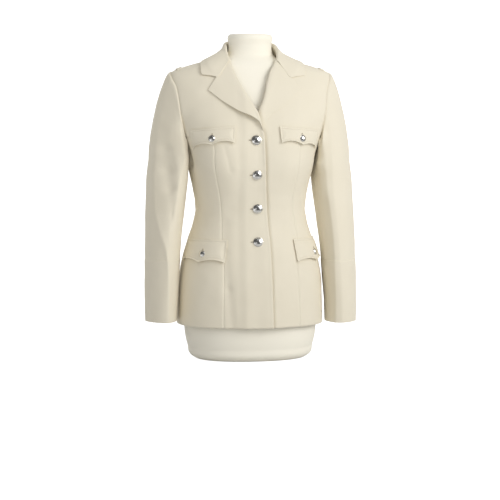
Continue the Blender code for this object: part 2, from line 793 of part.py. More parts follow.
def shoulder_place(x, y):
    """The angle and height of the body surface above a point of the plan, near the shoulder seam."""
    low = np.full_like(x, SHOULDER_SEARCH[0])
    high = np.full_like(x, SHOULDER_SEARCH[1])
    angle = np.degrees(np.arctan2(x, -y))
    for _ in range(SEARCH_STEPS):
        middle = (low + high) / 2
        outside = np.linalg.norm(body_point(angle, middle)[..., :2], axis=-1) > np.hypot(x, y)
        low = np.where(outside, middle, low)
        high = np.where(outside, high, middle)
    return np.stack([angle, (low + high) / 2], -1)


def shoulder_loop(side):
    """A strip sewn down at both ends across the shoulder, under which a shoulder board is held."""
    along = np.linspace(-1, 1, COLUMNS_LOOP + 1)[None, :]
    out = side * (LOOP_CENTRE + LOOP_WIDTH * np.array([-0.5, 0.0, 0.5]))[:, None]
    depth = LOOP_DEPTH + along * LOOP_LENGTH / 2
    grid = shoulder_place(*np.broadcast_arrays(out, depth))
    lift = WALL + SEAM_GAP + LOOP_RISE * (1 - along**4) + 0 * grid[..., 0]
    return wall(side_name(side) + "_shoulder_loop", *on_body(grid, lift))


def button(name, angle, height, scale, lift):
    """A domed button turned about the cloth's normal."""
    centre = body_point(angle, height) + body_normal(angle, height) * lift
    out = body_normal(angle, height)
    across = unit(np.cross(np.array([0, 0, 1.0]), out))
    up = np.cross(out, across)
    points = []
    faces = []
    sides = BUTTON_SIDES
    for share, rise in BUTTON_PROFILE:
        tall = BUTTON_HEIGHT * scale * rise
        if share == 0:
            points.append(centre + out * tall)
            continue
        for k in range(sides):
            a = 2 * math.pi * k / sides
            ring = across * math.cos(a) + up * math.sin(a)
            points.append(centre + ring * BUTTON_RADIUS * scale * share + out * tall)
    rings = len(BUTTON_PROFILE) - 2
    for k in range(sides):
        following = (k + 1) % sides
        faces.append((0, 1 + following, 1 + k))
        for r in range(rings - 1):
            a = 1 + r * sides + k
            b = 1 + r * sides + following
            faces.append((a, b, b + sides, a + sides))
        last = 1 + (rings - 1) * sides
        faces.append((last + k, last + following, len(points) - 1))
    return add_object(name, points, faces, METAL)


def buttons():
    on_overlap = OVERLAP_LIFT + BUTTON_STAND
    for number, (angle, height) in enumerate(FRONT_BUTTONS, 1):
        button(f"front_button_{number}", angle, height, 1.0, on_overlap)
    on_flap = WALL + LAYER_GAP + SEAM_GAP
    for side in (-1, 1):
        angle, height = CHEST_BUTTON
        button(side_name(side) + "_chest_button", side * angle, height, FLAP_BUTTON_SCALE, on_flap)
        angle, height = LOWER_BUTTON
        turned = side * angle + float(skirt_turn(height))
        button(side_name(side) + "_lower_button", turned, height, FLAP_BUTTON_SCALE, on_flap)


# ---------------------------------------------------------------- dress form

def dress_form():
    """A closed torso with a neck, round shoulders and a flat underside to stand on."""
    sides = FORM_SIDES
    angle = np.linspace(0, 360, sides, endpoint=False)
    points = []
    for height, half_width, front, back, square in FORM:
        x, y = ring_point(angle, half_width, front, back, square)
        points.append(np.stack([x, y, np.full_like(x, height)], -1))
    rings = np.array(points)
    flat = rings.reshape(-1, 3)
    faces = []
    for r in range(len(rings) - 1):
        for k in range(sides):
            following = (k + 1) % sides
            a = r * sides + k
            b = r * sides + following
            faces.append((a, b, b + sides, a + sides))
    faces.append(tuple(range(sides))[::-1])
    top = (len(rings) - 1) * sides
    faces.append(tuple(top + k for k in range(sides)))
    return add_object("dress_form", flat, faces, FORM_COVER)


# ---------------------------------------------------------------- the whole

def clear_scene():
    for found in list(bpy.data.objects):
        bpy.data.objects.remove(found)


def main():
    clear_scene()
    for side in (-1, 1):
        front_panel(side)
        side_panel(side)
        back_panel(side)
        lapel(side)
        sleeve(side)
        cuff(side)
        name = side_name(side)
        flap(name + "_chest_flap", CHEST_FLAP, side, turned=False)
        flap(name + "_lower_flap", LOWER_FLAP, side, turned=True)
        shoulder_loop(side)
    collar()
    buttons()
    dress_form()


main()
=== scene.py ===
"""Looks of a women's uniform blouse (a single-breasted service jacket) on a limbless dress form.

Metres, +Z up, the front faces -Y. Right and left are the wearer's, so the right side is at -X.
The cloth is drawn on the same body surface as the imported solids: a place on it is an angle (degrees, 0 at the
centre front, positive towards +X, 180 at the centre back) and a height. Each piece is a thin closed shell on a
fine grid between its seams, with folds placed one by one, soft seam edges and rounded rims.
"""

import math

import bmesh
import bpy
import numpy as np
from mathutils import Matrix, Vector

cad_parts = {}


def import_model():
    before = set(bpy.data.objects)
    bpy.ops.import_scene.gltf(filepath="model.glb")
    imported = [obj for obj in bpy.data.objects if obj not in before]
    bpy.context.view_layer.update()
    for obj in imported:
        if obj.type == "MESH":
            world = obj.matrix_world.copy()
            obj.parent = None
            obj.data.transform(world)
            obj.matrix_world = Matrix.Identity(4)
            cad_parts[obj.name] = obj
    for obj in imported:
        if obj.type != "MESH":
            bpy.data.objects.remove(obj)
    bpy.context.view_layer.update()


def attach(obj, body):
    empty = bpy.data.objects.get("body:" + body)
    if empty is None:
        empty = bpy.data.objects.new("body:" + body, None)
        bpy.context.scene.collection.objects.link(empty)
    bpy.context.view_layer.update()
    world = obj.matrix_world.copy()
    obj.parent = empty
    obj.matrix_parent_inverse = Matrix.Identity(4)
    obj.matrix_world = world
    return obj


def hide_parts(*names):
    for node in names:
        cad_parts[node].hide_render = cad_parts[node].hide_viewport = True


# ---------------------------------------------------------------- driving sizes, metres and degrees

WALL = 0.0020
SEAM_GAP = 0.0003
LAYER_GAP = 0.0006
EDGE_ROUND = 0.0005
SEWN_EDGE_ROUND = 0.00015
# sewn edges run on a little past the seam, so no gap shows
SEWN_TUCK = 0.0006
EDGE_TURNS = (30.0, 60.0, 90.0, 120.0, 150.0)
SEAM_DIP = 0.0004
SEAM_REACH = 0.0032

HEM_HEIGHT = 0.085
ROW_TOP = 0.450
BREAK_HEIGHT = 0.536
ARMPIT_HEIGHT = 0.509
SHOULDER_HEIGHT = 0.6895
BACK_NECK_HEIGHT = 0.737
BACK_ANGLE = 180.0

SKIRT_TURN = 4.2
SKIRT_TURN_TOP = 0.430
SKIRT_TURN_DEPTH = 0.140
BUST_ANGLE = 38.0
BUST_SPREAD = 24.0

# worn, the shoulder line sits a little lower than that of the solids
SHOULDER_DROP = 0.0040
SHOULDER_DROP_FROM = 0.640
SHOULDER_DROP_OVER = 0.045
SHOULDER_DROP_TO = 0.722
SHOULDER_DROP_FADE = 0.020
SHOULDER_DROP_ANGLE = 95.0
SHOULDER_DROP_SPREAD = 32.0

OVERLAP_LIFT = 0.0028
OVERLAP_START = -0.046
OVERLAP_FULL = -0.024
EDGE_RIDGE_WIDTH = 0.0046
EDGE_GROOVE = 0.0032
EDGE_GROOVE_PLACE = 0.0012
EDGE_GROOVE_WIDTH = 0.0042
EDGE_GROOVE_TOP = 0.030

CUFF_TOP = 0.2365
CUFF_LIFT = 0.0010
CUFF_TUCK = 0.0020
# the right sleeve sits a little higher than the left
RIGHT_CUFF_RISE = 0.0060
RIGHT_HEM_RISE = 0.0080
ARMHOLE_STEP = 0.0004
# the front half of a sleeve's ring is almost two flat faces that meet at a crease, the back half is full
SLEEVE_SQUARE_FRONT = 1.62
SLEEVE_SQUARE_BACK = 2.15
SLEEVE_HEAD_REACH = 0.052
SLEEVE_HEAD_DROP = 0.220
SLEEVE_HEAD_ROLL = 0.0011
SLEEVE_HEAD_WIDTH = 0.0055
SLEEVE_FLAT_RADIUS = 0.055
CREASE_LIFT = 0.0034
CREASE_ROUND = 0.0022
CREASE_WIDTH = 0.011
SEAM_FOLLOW = 0.022
# columns of the sleeve's seams from the two points where the armhole turns under the arm
FRONT_SEAM_DROP = 6
BACK_SEAM_RISE = 12
CREASE_TOP = 0.560
CREASE_FADE = 0.070

BUTTON_RADIUS = 0.0116
BUTTON_HEIGHT = 0.0062
BUTTON_STAND = 0.0010
FLAP_BUTTON_SCALE = 0.70

FLAP_RISE = 0.007
FLAP_ROUND = 0.8
FLAP_STITCH_INSET = 0.0046
FLAP_STITCH_DEPTH = 0.0006
FLAP_STITCH_WIDTH = 0.0011
FLAP_PUFF = 0.0011
FLAP_EDGE_LIFT = 0.0048
FLAP_EDGE_REACH = 0.0075
FLAP_SIDE_LIFT = 0.0016
FLAP_SIDE_REACH = 0.0040
FLAP_END_SHARE = 0.15
FLAP_END_REACH = 0.022

LOOP_CENTRE = 0.1715
LOOP_DEPTH = 0.0020
LOOP_WIDTH = 0.011
LOOP_LENGTH = 0.050
LOOP_RISE = 0.0012
LOOP_THICKNESS = 0.0012
SHOULDER_SEARCH = (0.660, 0.737)
SEARCH_STEPS = 30

LAPEL_PUFF = 0.0034
LAPEL_STAND = 0.0096
LAPEL_STAND_PLACE = 0.36
LAPEL_STAND_SPREAD = 0.30
LEFT_LAPEL_FLUSH = 0.62
LEFT_LAPEL_DIP = 0.80
LEFT_LAPEL_SINK = 0.0012
LEFT_LAPEL_SINK_TOP = 0.62
LEFT_LAPEL_DIP_WIDTH = 0.014
RIGHT_LAPEL_START = 0.045
LEFT_LAPEL_START = 0.17
LAPEL_MERGE = 0.17
LAPEL_THIN_END = 0.08
LAPEL_PUSH_LOW = 0.20
LAPEL_FLUSH = 0.0002
# the top of a lapel runs on under the collar: angle and height, and the share of the way where that starts
LAPEL_TUCK = (2.8, 0.0060)
LAPEL_TUCK_START = 0.88

COLLAR_SHOULDER = 0.33
COLLAR_START = 0.006
COLLAR_TURN = 0.0022
COLLAR_FOOT_IN = 0.0006
COLLAR_FALL = 2.2
RIGHT_COLLAR_FALL = -1.05
LEFT_COLLAR_FALL = 0.50
COLLAR_FALL_START = 0.12
COLLAR_FALL_FADE_FROM = 0.50
COLLAR_FALL_FADE_OVER = 0.35
COLLAR_LIFT = 0.0028
LEFT_COLLAR_FLUSH = 0.0022
LEFT_COLLAR_FLUSH_REACH = 0.20

HOLE_WIDTH = 0.0030
FRONT_HOLE_LENGTH = 0.0185
FRONT_HOLE_SHIFT = 0.0082
FLAP_HOLE_LENGTH = 0.0140
FLAP_HOLE_SHIFT = 0.0052
HOLE_THREAD = 0.00055
HOLE_LIFT = 0.0003
SLIT_WIDTH_SHARE = 0.30
SLIT_LENGTH_SHARE = 0.94
HOLE_ROUND = 0.72

STITCH_PITCH = 0.0032
STITCH_LENGTH = 0.0023
STITCH_RADIUS = 0.00022
STITCH_LIFT = 0.0001

# how finely the pieces are drawn
ROWS_STRAIGHT = 120
ROWS_CHEST = 32
ROWS_UPPER = 66
ROWS_NECK_FRONT = 18
ROWS_NECK_BACK = 36
COLUMNS_WIDE = 44
COLUMNS_UNDER_ARM = 26
ROWS_SLEEVE_CAP = 62
ROWS_ARM = 80
ROWS_CUFF = 44
COLUMNS_LAPEL = 34
COLUMNS_COLLAR = 46
COLLAR_STATIONS_FRONT = 18
COLLAR_STATIONS_BACK = 42
ROWS_FLAP = 40
COLUMNS_FLAP = 90
ROWS_LOOP = 10
COLUMNS_LOOP = 36
FORM_SIDES = 120
FORM_RINGS = 170
BUTTON_SIDES = 40
THREAD_SIDES = 8
HOLE_STEPS = 48
STITCH_SIDES = 5
STITCH_SAMPLES = 60

# ---------------------------------------------------------------- tables
# the solids' shapes, changed where the worn cloth differs

# jacket body: height, half width, front depth, back depth, squareness, share of extra depth at the bust
BODY = np.array([
    (0.06, 0.1765, 0.128, 0.13, 2.3, 0.0), (0.085, 0.1765, 0.128, 0.131, 2.3, 0.0),
    (0.137, 0.1755, 0.126, 0.133, 2.3, 0.0), (0.2, 0.1715, 0.122, 0.129, 2.3, 0.0),
    (0.248, 0.1625, 0.115, 0.116, 2.3, 0.0), (0.285, 0.152, 0.108, 0.101, 2.3, 0.0),
    (0.325, 0.1385, 0.102, 0.09, 2.3, 0.0), (0.357, 0.133, 0.101, 0.086, 2.3, 0.01),
    (0.388, 0.1352, 0.104, 0.088, 2.3, 0.03), (0.425, 0.142, 0.111, 0.094, 2.3, 0.065),
    (0.46, 0.15, 0.117, 0.1, 2.32, 0.095), (0.498, 0.1575, 0.118, 0.106, 2.35, 0.095),
    (0.545, 0.179, 0.113, 0.11, 2.35, 0.06), (0.605, 0.197, 0.098, 0.11, 2.35, 0.02),
    (0.65, 0.1985, 0.08, 0.102, 2.3, 0.0), (0.675, 0.196, 0.067, 0.094, 2.25, 0.0),
    (0.6895, 0.188, 0.059, 0.088, 2.2, 0.0), (0.7033, 0.153, 0.052, 0.079, 2.15, 0.0),
    (0.7137, 0.115, 0.046, 0.072, 2.1, 0.0), (0.722, 0.085, 0.041, 0.067, 2.05, 0.0),
    (0.7275, 0.066, 0.038, 0.064, 2.0, 0.0), (0.737, 0.058, 0.036, 0.061, 2.0, 0.0),
])

# dress form: height, half width, front depth, back depth, squareness
FORM = np.array([
    (0.0, 0.133, 0.093, 0.098, 2.2), (0.006, 0.143, 0.103, 0.108, 2.2),
    (0.03, 0.152, 0.11, 0.116, 2.2), (0.137, 0.16, 0.112, 0.12, 2.2),
    (0.2, 0.157, 0.108, 0.115, 2.2), (0.285, 0.139, 0.095, 0.088, 2.2),
    (0.357, 0.122, 0.089, 0.074, 2.2), (0.425, 0.131, 0.099, 0.082, 2.2),
    (0.498, 0.146, 0.106, 0.094, 2.2), (0.56, 0.16, 0.098, 0.099, 2.2),
    (0.62, 0.168, 0.08, 0.098, 2.2), (0.655, 0.169, 0.067, 0.091, 2.2),
    (0.678, 0.162, 0.056, 0.083, 2.15), (0.693, 0.152, 0.051, 0.078, 2.1),
    (0.7015, 0.148, 0.048, 0.075, 2.1), (0.7118, 0.112, 0.042, 0.068, 2.05),
    (0.7185, 0.08, 0.037, 0.062, 2.0), (0.724, 0.062, 0.034, 0.058, 2.0),
    (0.733, 0.054, 0.034, 0.055, 2.0), (0.748, 0.0515, 0.036, 0.055, 2.0),
    (0.7728, 0.0515, 0.04, 0.055, 2.0), (0.7746, 0.05, 0.0385, 0.0535, 2.0),
])

# one sleeve: height, centre out from the middle, centre depth, half width, half depth, and how far the front
# crease lies nearer to the body than the centre
SLEEVE = np.array([
    (0.086, 0.219, -0.026, 0.037, 0.048, 0.006), (0.13, 0.2185, -0.025, 0.0385, 0.05, 0.006),
    (0.2, 0.216, -0.021, 0.0405, 0.0535, 0.007), (0.286, 0.212, -0.014, 0.0435, 0.058, 0.008),
    (0.34, 0.208, -0.008, 0.046, 0.061, 0.009), (0.4, 0.203, -0.002, 0.0485, 0.0645, 0.011),
    (0.44, 0.2005, 0.001, 0.049, 0.0675, 0.013), (0.478, 0.1995, 0.003, 0.045, 0.0705, 0.016),
])

# how much further each worn sleeve's front crease lies towards the body: height, right sleeve, left sleeve
CREASE_LEAN = np.array([
    (0.3, 0.0, 0.0), (0.34, 0.003, 0.0), (0.4, 0.009, 0.0), (0.44, 0.013, -0.002),
    (0.478, 0.016, -0.005),
])

# seams that run up the body: height, angle
PRINCESS = np.array([
    (0.085, 38.8), (0.231, 40.4), (0.314, 46.3), (0.408, 43.6), (0.5, 42.1),
])
SIDE_BACK = np.array([
    (0.085, 128.0), (0.2, 130.0), (0.357, 138.0), (0.45, 134.0),
])
HIDDEN_EDGE = np.array([
    (0.085, -7.5), (0.536, -7.1),
])
FRONT_EDGE = np.array([
    (0.085, 15.0), (0.197, 14.6), (0.286, 14.9), (0.363, 13.0), (0.443, 8.9), (0.524, 7.3),
    (0.536, 7.1),
])

# the soft ridge along the right front's edge and roll line: height, lift
EDGE_RIDGE = np.array([
    (0.085, 0.0009), (0.3, 0.001), (0.46, 0.0013), (0.51, 0.0024), (0.545, 0.0032), (0.575, 0.0022),
    (0.62, 0.0), (0.71, 0.0),
])

# short stretches: share of the way, angle, height
UNDER_FLAP = np.array([
    (0.0, 42.1, 0.5), (0.28, 43.6, 0.519), (0.62, 56.0, 0.528), (1.0, 70.5, 0.532),
])
SIDE_BACK_TOP = np.array([
    (0.0, 134.0, 0.45), (0.55, 122.0, 0.52), (1.0, 108.5, 0.565),
])
ARMHOLE_FRONT = np.array([
    (0.0, 70.5, 0.532), (0.35, 72.2, 0.6), (0.65, 78.0, 0.651), (0.85, 85.0, 0.68),
    (1.0, 90.0, 0.6895),
])
ARMHOLE_LOW_FRONT = np.array([
    (0.0, 70.5, 0.532), (0.5, 77.5, 0.515), (1.0, 90.0, 0.509),
])
ARMHOLE_LOW_BACK = np.array([
    (0.0, 90.0, 0.509), (0.5, 102.5, 0.521), (1.0, 108.5, 0.565),
])
ARMHOLE_BACK = np.array([
    (0.0, 108.5, 0.565), (0.3, 107.5, 0.61), (0.62, 102.0, 0.655), (0.85, 95.0, 0.681),
    (1.0, 90.0, 0.6895),
])
RIGHT_ROLL = np.array([
    (0.0, 7.1, 0.536), (0.26, -0.7, 0.589), (0.46, -12.8, 0.623), (0.78, -34.9, 0.675),
    (1.0, -49.8, 0.707),
])
LEFT_ROLL = np.array([
    (0.0, -7.1, 0.536), (0.28, 2.6, 0.589), (0.46, 12.2, 0.623), (0.64, 20.2, 0.6545),
    (0.84, 34.5, 0.687), (1.0, 49.8, 0.707),
])
NECK_FRONT = np.array([
    (0.0, 49.8, 0.707), (0.45, 68.0, 0.7195), (1.0, 90.0, 0.7275),
])
NECK_BACK = np.array([
    (0.0, 180.0, 0.737), (0.5, 135.0, 0.735), (1.0, 90.0, 0.7275),
])

# outer edge of each lapel, from the end at the front edge to the tip: share, angle, height
RIGHT_LAPEL_EDGE = np.array([
    (0.0, 6.4, 0.544), (0.1, 4.6, 0.5545), (0.2, 0.4, 0.5665), (0.32, -6.5, 0.575),
    (0.52, -20.7, 0.5875), (0.76, -39.8, 0.6125), (1.0, -56.3, 0.64),
])
LEFT_LAPEL_EDGE = np.array([
    (0.0, 6.6, 0.545), (0.12, 9.4, 0.5615), (0.28, 15.0, 0.58), (0.5, 26.0, 0.594),
    (0.72, 40.0, 0.614), (1.0, 55.6, 0.641),
])
# across a lapel: share of the way out, push past the roll line, lift over the cloth below
LAPEL_SECTION = np.array([
    (0.0, 0.0024, -0.0038), (0.0, 0.0024, -0.0012), (0.0, 0.0014, 0.0012), (0.05, 0.0, 0.0022),
    (0.2, 0.0, 0.002), (0.42, 0.0, 0.001), (0.7, 0.0, 0.0003), (1.0, 0.0, 0.0),
])

# half of the collar from the lapel to the centre back: share of the neck seam, fold out, fold depth and
# fold height, then angle and height of the leaf's edge
COLLAR = np.array([
    (0.0, 0.0578, -0.0502, 0.71, 66.0, 0.677), (0.16, 0.0612, -0.037, 0.726, 74.5, 0.7025),
    (0.245, 0.0624, -0.027, 0.7362, 82.5, 0.7128), (0.33, 0.0616, -0.015, 0.744, 90.0, 0.7172),
    (0.55, 0.0555, 0.025, 0.7555, 118.0, 0.7168), (0.78, 0.0332, 0.053, 0.761, 150.0, 0.715),
    (1.0, 0.0, 0.062, 0.763, 180.0, 0.7145),
])
COLLAR_LEAF = (0.25, 0.5, 0.75, 1.0)
NOTCH = np.array([53.1, 0.6715])

# flaps of the right side: share along from the inner to the outer end, angle, top height, bottom height
CHEST_FLAP = np.array([
    (0.0, 24.6, 0.556, 0.5165), (0.5, 44.0, 0.5525, 0.5125), (1.0, 64.3, 0.548, 0.5045),
])
LOWER_FLAP = np.array([
    (0.0, 39.4, 0.2905, 0.2365), (0.5, 63.5, 0.2905, 0.2365), (1.0, 87.0, 0.2905, 0.2375),
])
# flap buttons: name, angle, height, and 1 where the turned skirt takes them along
FLAP_BUTTONS = (
    ("right_chest", -44.5, 0.5275, 0),
    ("right_lower", -61.8, 0.2570, 1),
    ("left_chest", 44.5, 0.5275, 0),
    ("left_lower", 64.0, 0.2570, 1),
)
FRONT_BUTTONS = np.array([
    (-2.0, 0.524), (-0.8, 0.4435), (0.9, 0.3635), (0.9, 0.2855),
])

# a button's section from the middle of its back to the middle of its dome: share of radius, share of height
BUTTON_PROFILE = np.array([
    (0.0, 0.0), (0.7, 0.0), (0.92, 0.02), (0.985, 0.09), (1.0, 0.17), (0.985, 0.25), (0.945, 0.31),
    (0.915, 0.315), (0.895, 0.33), (0.86, 0.41), (0.78, 0.56), (0.66, 0.715), (0.52, 0.84),
    (0.36, 0.93), (0.18, 0.985), (0.0, 1.0),
])

# ---------------------------------------------------------------- folds

# body folds between two places: angle, height, angle, height, width, lift (negative is a trough)
BODY_FOLDS = (
    # the long soft fold of the right skirt front
    (-39.0, 0.33, -36.5, 0.262, 0.01, -0.0011), (-36.5, 0.262, -31.0, 0.175, 0.0105, -0.0021),
    (-31.0, 0.175, -26.0, 0.08, 0.0115, -0.0026), (-16.0, 0.23, -11.0, 0.08, 0.024, 0.0014),
    # the fronts stand off towards the lower corner
    (12.5, 0.29, 14.5, 0.08, 0.026, 0.0034),
    # a short crease under the right chest flap
    (-33.5, 0.509, -28.5, 0.452, 0.005, -0.001), (-26.0, 0.505, -23.5, 0.458, 0.008, 0.0006),
    # the hollow in front of the right armpit
    (-77.5, 0.528, -76.0, 0.47, 0.011, -0.0085),
    # the chest stays full up to the armholes
    (-74.0, 0.59, -82.0, 0.665, 0.021, 0.0026), (74.0, 0.59, 82.0, 0.665, 0.021, 0.0018),
    # shallow hollows from the armholes towards the bust
    (-69.0, 0.566, -55.0, 0.545, 0.015, -0.0014), (-66.0, 0.6, -55.0, 0.625, 0.02, -0.001),
    (68.0, 0.562, 56.0, 0.548, 0.015, -0.001), (66.0, 0.604, 54.0, 0.622, 0.02, -0.0008),
    # left skirt front
    (30.0, 0.25, 27.0, 0.08, 0.02, 0.0012), (45.0, 0.215, 47.0, 0.08, 0.013, -0.001),
    # waist at the sides
    (-78.0, 0.366, -100.0, 0.352, 0.008, -0.001), (-92.0, 0.384, -112.0, 0.374, 0.008, -0.0008),
    (80.0, 0.358, 104.0, 0.368, 0.008, -0.001), (94.0, 0.38, 110.0, 0.388, 0.007, -0.0006),
    # back: drag lines over the waist and soft flutes of the skirt
    (-158.0, 0.372, -172.0, 0.356, 0.009, -0.0011), (-150.0, 0.344, -168.0, 0.336, 0.008, -0.0008),
    (160.0, 0.364, 174.0, 0.35, 0.009, -0.0012), (152.0, 0.392, 166.0, 0.384, 0.008, -0.0007),
    (-157.0, 0.235, -160.0, 0.08, 0.014, -0.0022), (-143.0, 0.24, -141.0, 0.08, 0.015, 0.0016),
    (154.0, 0.23, 157.0, 0.08, 0.014, -0.0018), (141.0, 0.245, 139.0, 0.08, 0.015, 0.0015),
    (-112.0, 0.225, -114.0, 0.08, 0.015, -0.0014), (113.0, 0.235, 110.0, 0.08, 0.015, -0.0016),
    # back: hollows beside the armholes
    (-116.0, 0.6, -124.0, 0.52, 0.014, -0.002), (-128.0, 0.585, -134.0, 0.515, 0.012, 0.0011),
    (115.0, 0.605, 122.0, 0.53, 0.014, -0.0018), (127.0, 0.59, 135.0, 0.525, 0.012, 0.001),
)

# the pressed crease down the front of each sleeve: height, bearing
RIGHT_CREASE = np.array([
    (0.08, 104.0), (0.172, 99.0), (0.267, 80.0), (0.303, 63.0), (0.336, 49.0), (0.406, 36.0),
    (0.5, 29.0),
])
LEFT_CREASE = np.array([
    (0.08, 118.0), (0.261, 111.0), (0.454, 112.0), (0.56, 118.0),
])
# sleeve folds between two places: bearing, height, bearing, height, width, lift
RIGHT_SLEEVE_FOLDS = (
    # the long slanting trough of the upper arm and the shoulder of cloth beside it
    (40.0, 0.545, 47.0, 0.505, 0.011, -0.0014), (47.0, 0.505, 55.0, 0.454, 0.0115, -0.0036),
    (55.0, 0.454, 66.0, 0.409, 0.011, -0.0036), (66.0, 0.409, 86.0, 0.348, 0.01, -0.0014),
    (86.0, 0.348, 100.0, 0.3, 0.009, -0.0008), (71.0, 0.48, 88.0, 0.415, 0.008, 0.0012),
    (88.0, 0.415, 112.0, 0.33, 0.009, 0.0008), (30.0, 0.61, 52.0, 0.575, 0.014, -0.0006),
    # the front face stays full up to the armhole, with a hollow behind it at the armpit
    (114.0, 0.64, 119.0, 0.57, 0.015, 0.003), (119.0, 0.57, 123.0, 0.52, 0.015, 0.003),
    (123.0, 0.52, 125.0, 0.4, 0.015, 0.0015), (158.0, 0.52, 160.0, 0.47, 0.012, -0.003),
    # elbow, at the back
    (262.0, 0.405, 300.0, 0.392, 0.0075, -0.0021), (250.0, 0.378, 292.0, 0.366, 0.0075, -0.0018),
    (238.0, 0.43, 282.0, 0.424, 0.0085, -0.0014), (225.0, 0.47, 250.0, 0.446, 0.009, -0.0018),
    (262.0, 0.345, 300.0, 0.33, 0.009, 0.001),
)
LEFT_SLEEVE_FOLDS = (
    (116.0, 0.61, 122.0, 0.53, 0.015, 0.003), (122.0, 0.53, 128.0, 0.47, 0.017, 0.0078),
    (128.0, 0.47, 126.0, 0.4, 0.015, 0.003), (70.0, 0.56, 76.0, 0.48, 0.014, -0.0007),
    (34.0, 0.6, 55.0, 0.57, 0.014, -0.0006), (258.0, 0.412, 298.0, 0.404, 0.008, -0.0019),
    (246.0, 0.384, 288.0, 0.37, 0.0075, -0.002), (240.0, 0.448, 276.0, 0.44, 0.0085, -0.0012),
    (228.0, 0.478, 250.0, 0.456, 0.009, -0.0016), (266.0, 0.352, 302.0, 0.34, 0.009, 0.0009),
)

# slight unevenness of worn cloth: waves along a direction, its wavelength, height and phase
UNEVEN = (
    ((0.80, 0.10, 0.60), 0.061, 0.00016, 0.4),
    ((-0.50, 0.70, 0.50), 0.043, 0.00012, 2.1),
    ((0.20, -0.60, 0.80), 0.029, 0.00008, 4.0),
    ((0.95, 0.20, -0.25), 0.037, 0.00010, 1.3),
)
# flare of the hem: waves round the body, height, phase in degrees
HEM_WAVES = (
    (3, 0.001, 25.0), (5, 0.0007, 130.0), (9, 0.0004, 300.0),
)
HEM_WAVE_TOP = 0.200
HEM_WAVE_DEPTH = 0.110

# ---------------------------------------------------------------- picture

CAMERA_BEARING = -9.0
CAMERA_RUN = 3.50
CAMERA_HEIGHT = 0.560
LOOK_AT = (0.0, 0.0, 0.258)
METRES_PER_PIXEL = 0.00242
FRAME_PIXELS = 500
SENSOR = 36.0
CLIP_END = 40.0

# light from the surroundings: strength of the soft light that comes from each axis direction
WORLD_LIGHT = (
    ((0, 1, 0), 1.54),
    ((0, -1, 0), 0.83),
    ((0, 0, 1), 0.32),
    ((0, 0, -1), 0.70),
)
# what polished metal sees instead: direction, strength and sharpness of each light, in dim surroundings
REFLECTED_LIGHT = (
    ((0.82, -0.50, 0.28), 3.2, 14.0),
    ((-0.42, -0.90, -0.06), 1.1, 70.0),
    ((-0.80, -0.35, -0.48), 1.6, 12.0),
    ((0.10, -0.60, 0.80), 0.5, 24.0),
)
REFLECTED_DIM = 0.10
KEY_PLACE = (1.75, -1.75, 1.55)
KEY_TARGET = (0.0, -0.05, 0.50)
KEY_SIZE = 1.5
KEY_POWER = 31.3

WHITE = (1.0, 1.0, 1.0, 1.0)
FLOOR_SIDES = 96
# threads that cross a cloth's wales: bearing from them and share of their spacing; scale of the fuzz
CROSS_BEARING = 78.0
CROSS_SPACING = 0.7
FUZZ_SCALE = 900.0
FLOOR_TONE = 0.60
FLOOR_GLOW = 0.09
FLOOR_GLOW_SEEN = 0.75
FLOOR_RADIUS = 1.30
FLOOR_FADE = (0.42, 1.20)


# ---------------------------------------------------------------- curves and the body surface

def read(table, at):
    """Reads a table at its first column, smoothly: one value for each other column."""
    keys = table[:, 0]
    values = table[:, 1:]
    width = np.diff(keys)
    slope = np.diff(values, axis=0) / width[:, None]
    tangent = np.zeros_like(values)
    tangent[0] = slope[0]
    tangent[-1] = slope[-1]
    if len(keys) > 2:
        before = slope[:-1] * width[1:, None]
        after = slope[1:] * width[:-1, None]
        tangent[1:-1] = (before + after) / (width[:-1] + width[1:])[:, None]
    at = np.clip(np.asarray(at, float), keys[0], keys[-1])
    k = np.clip(np.searchsorted(keys, at, side="right") - 1, 0, len(keys) - 2)
    s = ((at - keys[k]) / width[k])[..., None]
    w = width[k][..., None]
    return hermite(s, values[k], w * tangent[k], values[k + 1], w * tangent[k + 1])


def smoothstep(value):
    t = np.clip(value, 0.0, 1.0)
    return t * t * (3 - 2 * t)


def bell(distance, width):
    """A smooth hump: 1 in the middle and almost 0 at twice the width."""
    return np.exp(-((distance / width) ** 2))


def hermite(s, start, leave, end, arrive):
    """A point between start and end, with the directions in which the curve leaves and arrives."""
    first = (2 * s**3 - 3 * s**2 + 1) * start + (s**3 - 2 * s**2 + s) * leave
    return first + ((3 * s**2 - 2 * s**3) * end + (s**3 - s**2) * arrive)


def unit(vectors):
    return vectors / np.maximum(np.linalg.norm(vectors, axis=-1, keepdims=True), 1e-12)


def ring_point(angle, half_width, front, back, square):
    """A point of a superellipse ring, whose front and back halves have their own depths."""
    a = np.radians(angle)
    depth = np.where(np.cos(a) > 0, front, back)
    reach = np.abs(np.cos(a) / depth) ** square + np.abs(np.sin(a) / half_width) ** square
    radius = reach ** (-1 / square)
    return radius * np.sin(a), -radius * np.cos(a)


def shoulder_drop(angle, height):
    """How far the worn shoulder line lies below the smooth one."""
    turned = np.abs((np.asarray(angle) + 180) % 360 - 180)
    near = bell(turned - SHOULDER_DROP_ANGLE, SHOULDER_DROP_SPREAD)
    starts = smoothstep((height - SHOULDER_DROP_FROM) / SHOULDER_DROP_OVER)
    ends = 1 - smoothstep((height - SHOULDER_DROP_TO) / SHOULDER_DROP_FADE)
    return SHOULDER_DROP * near * starts * ends


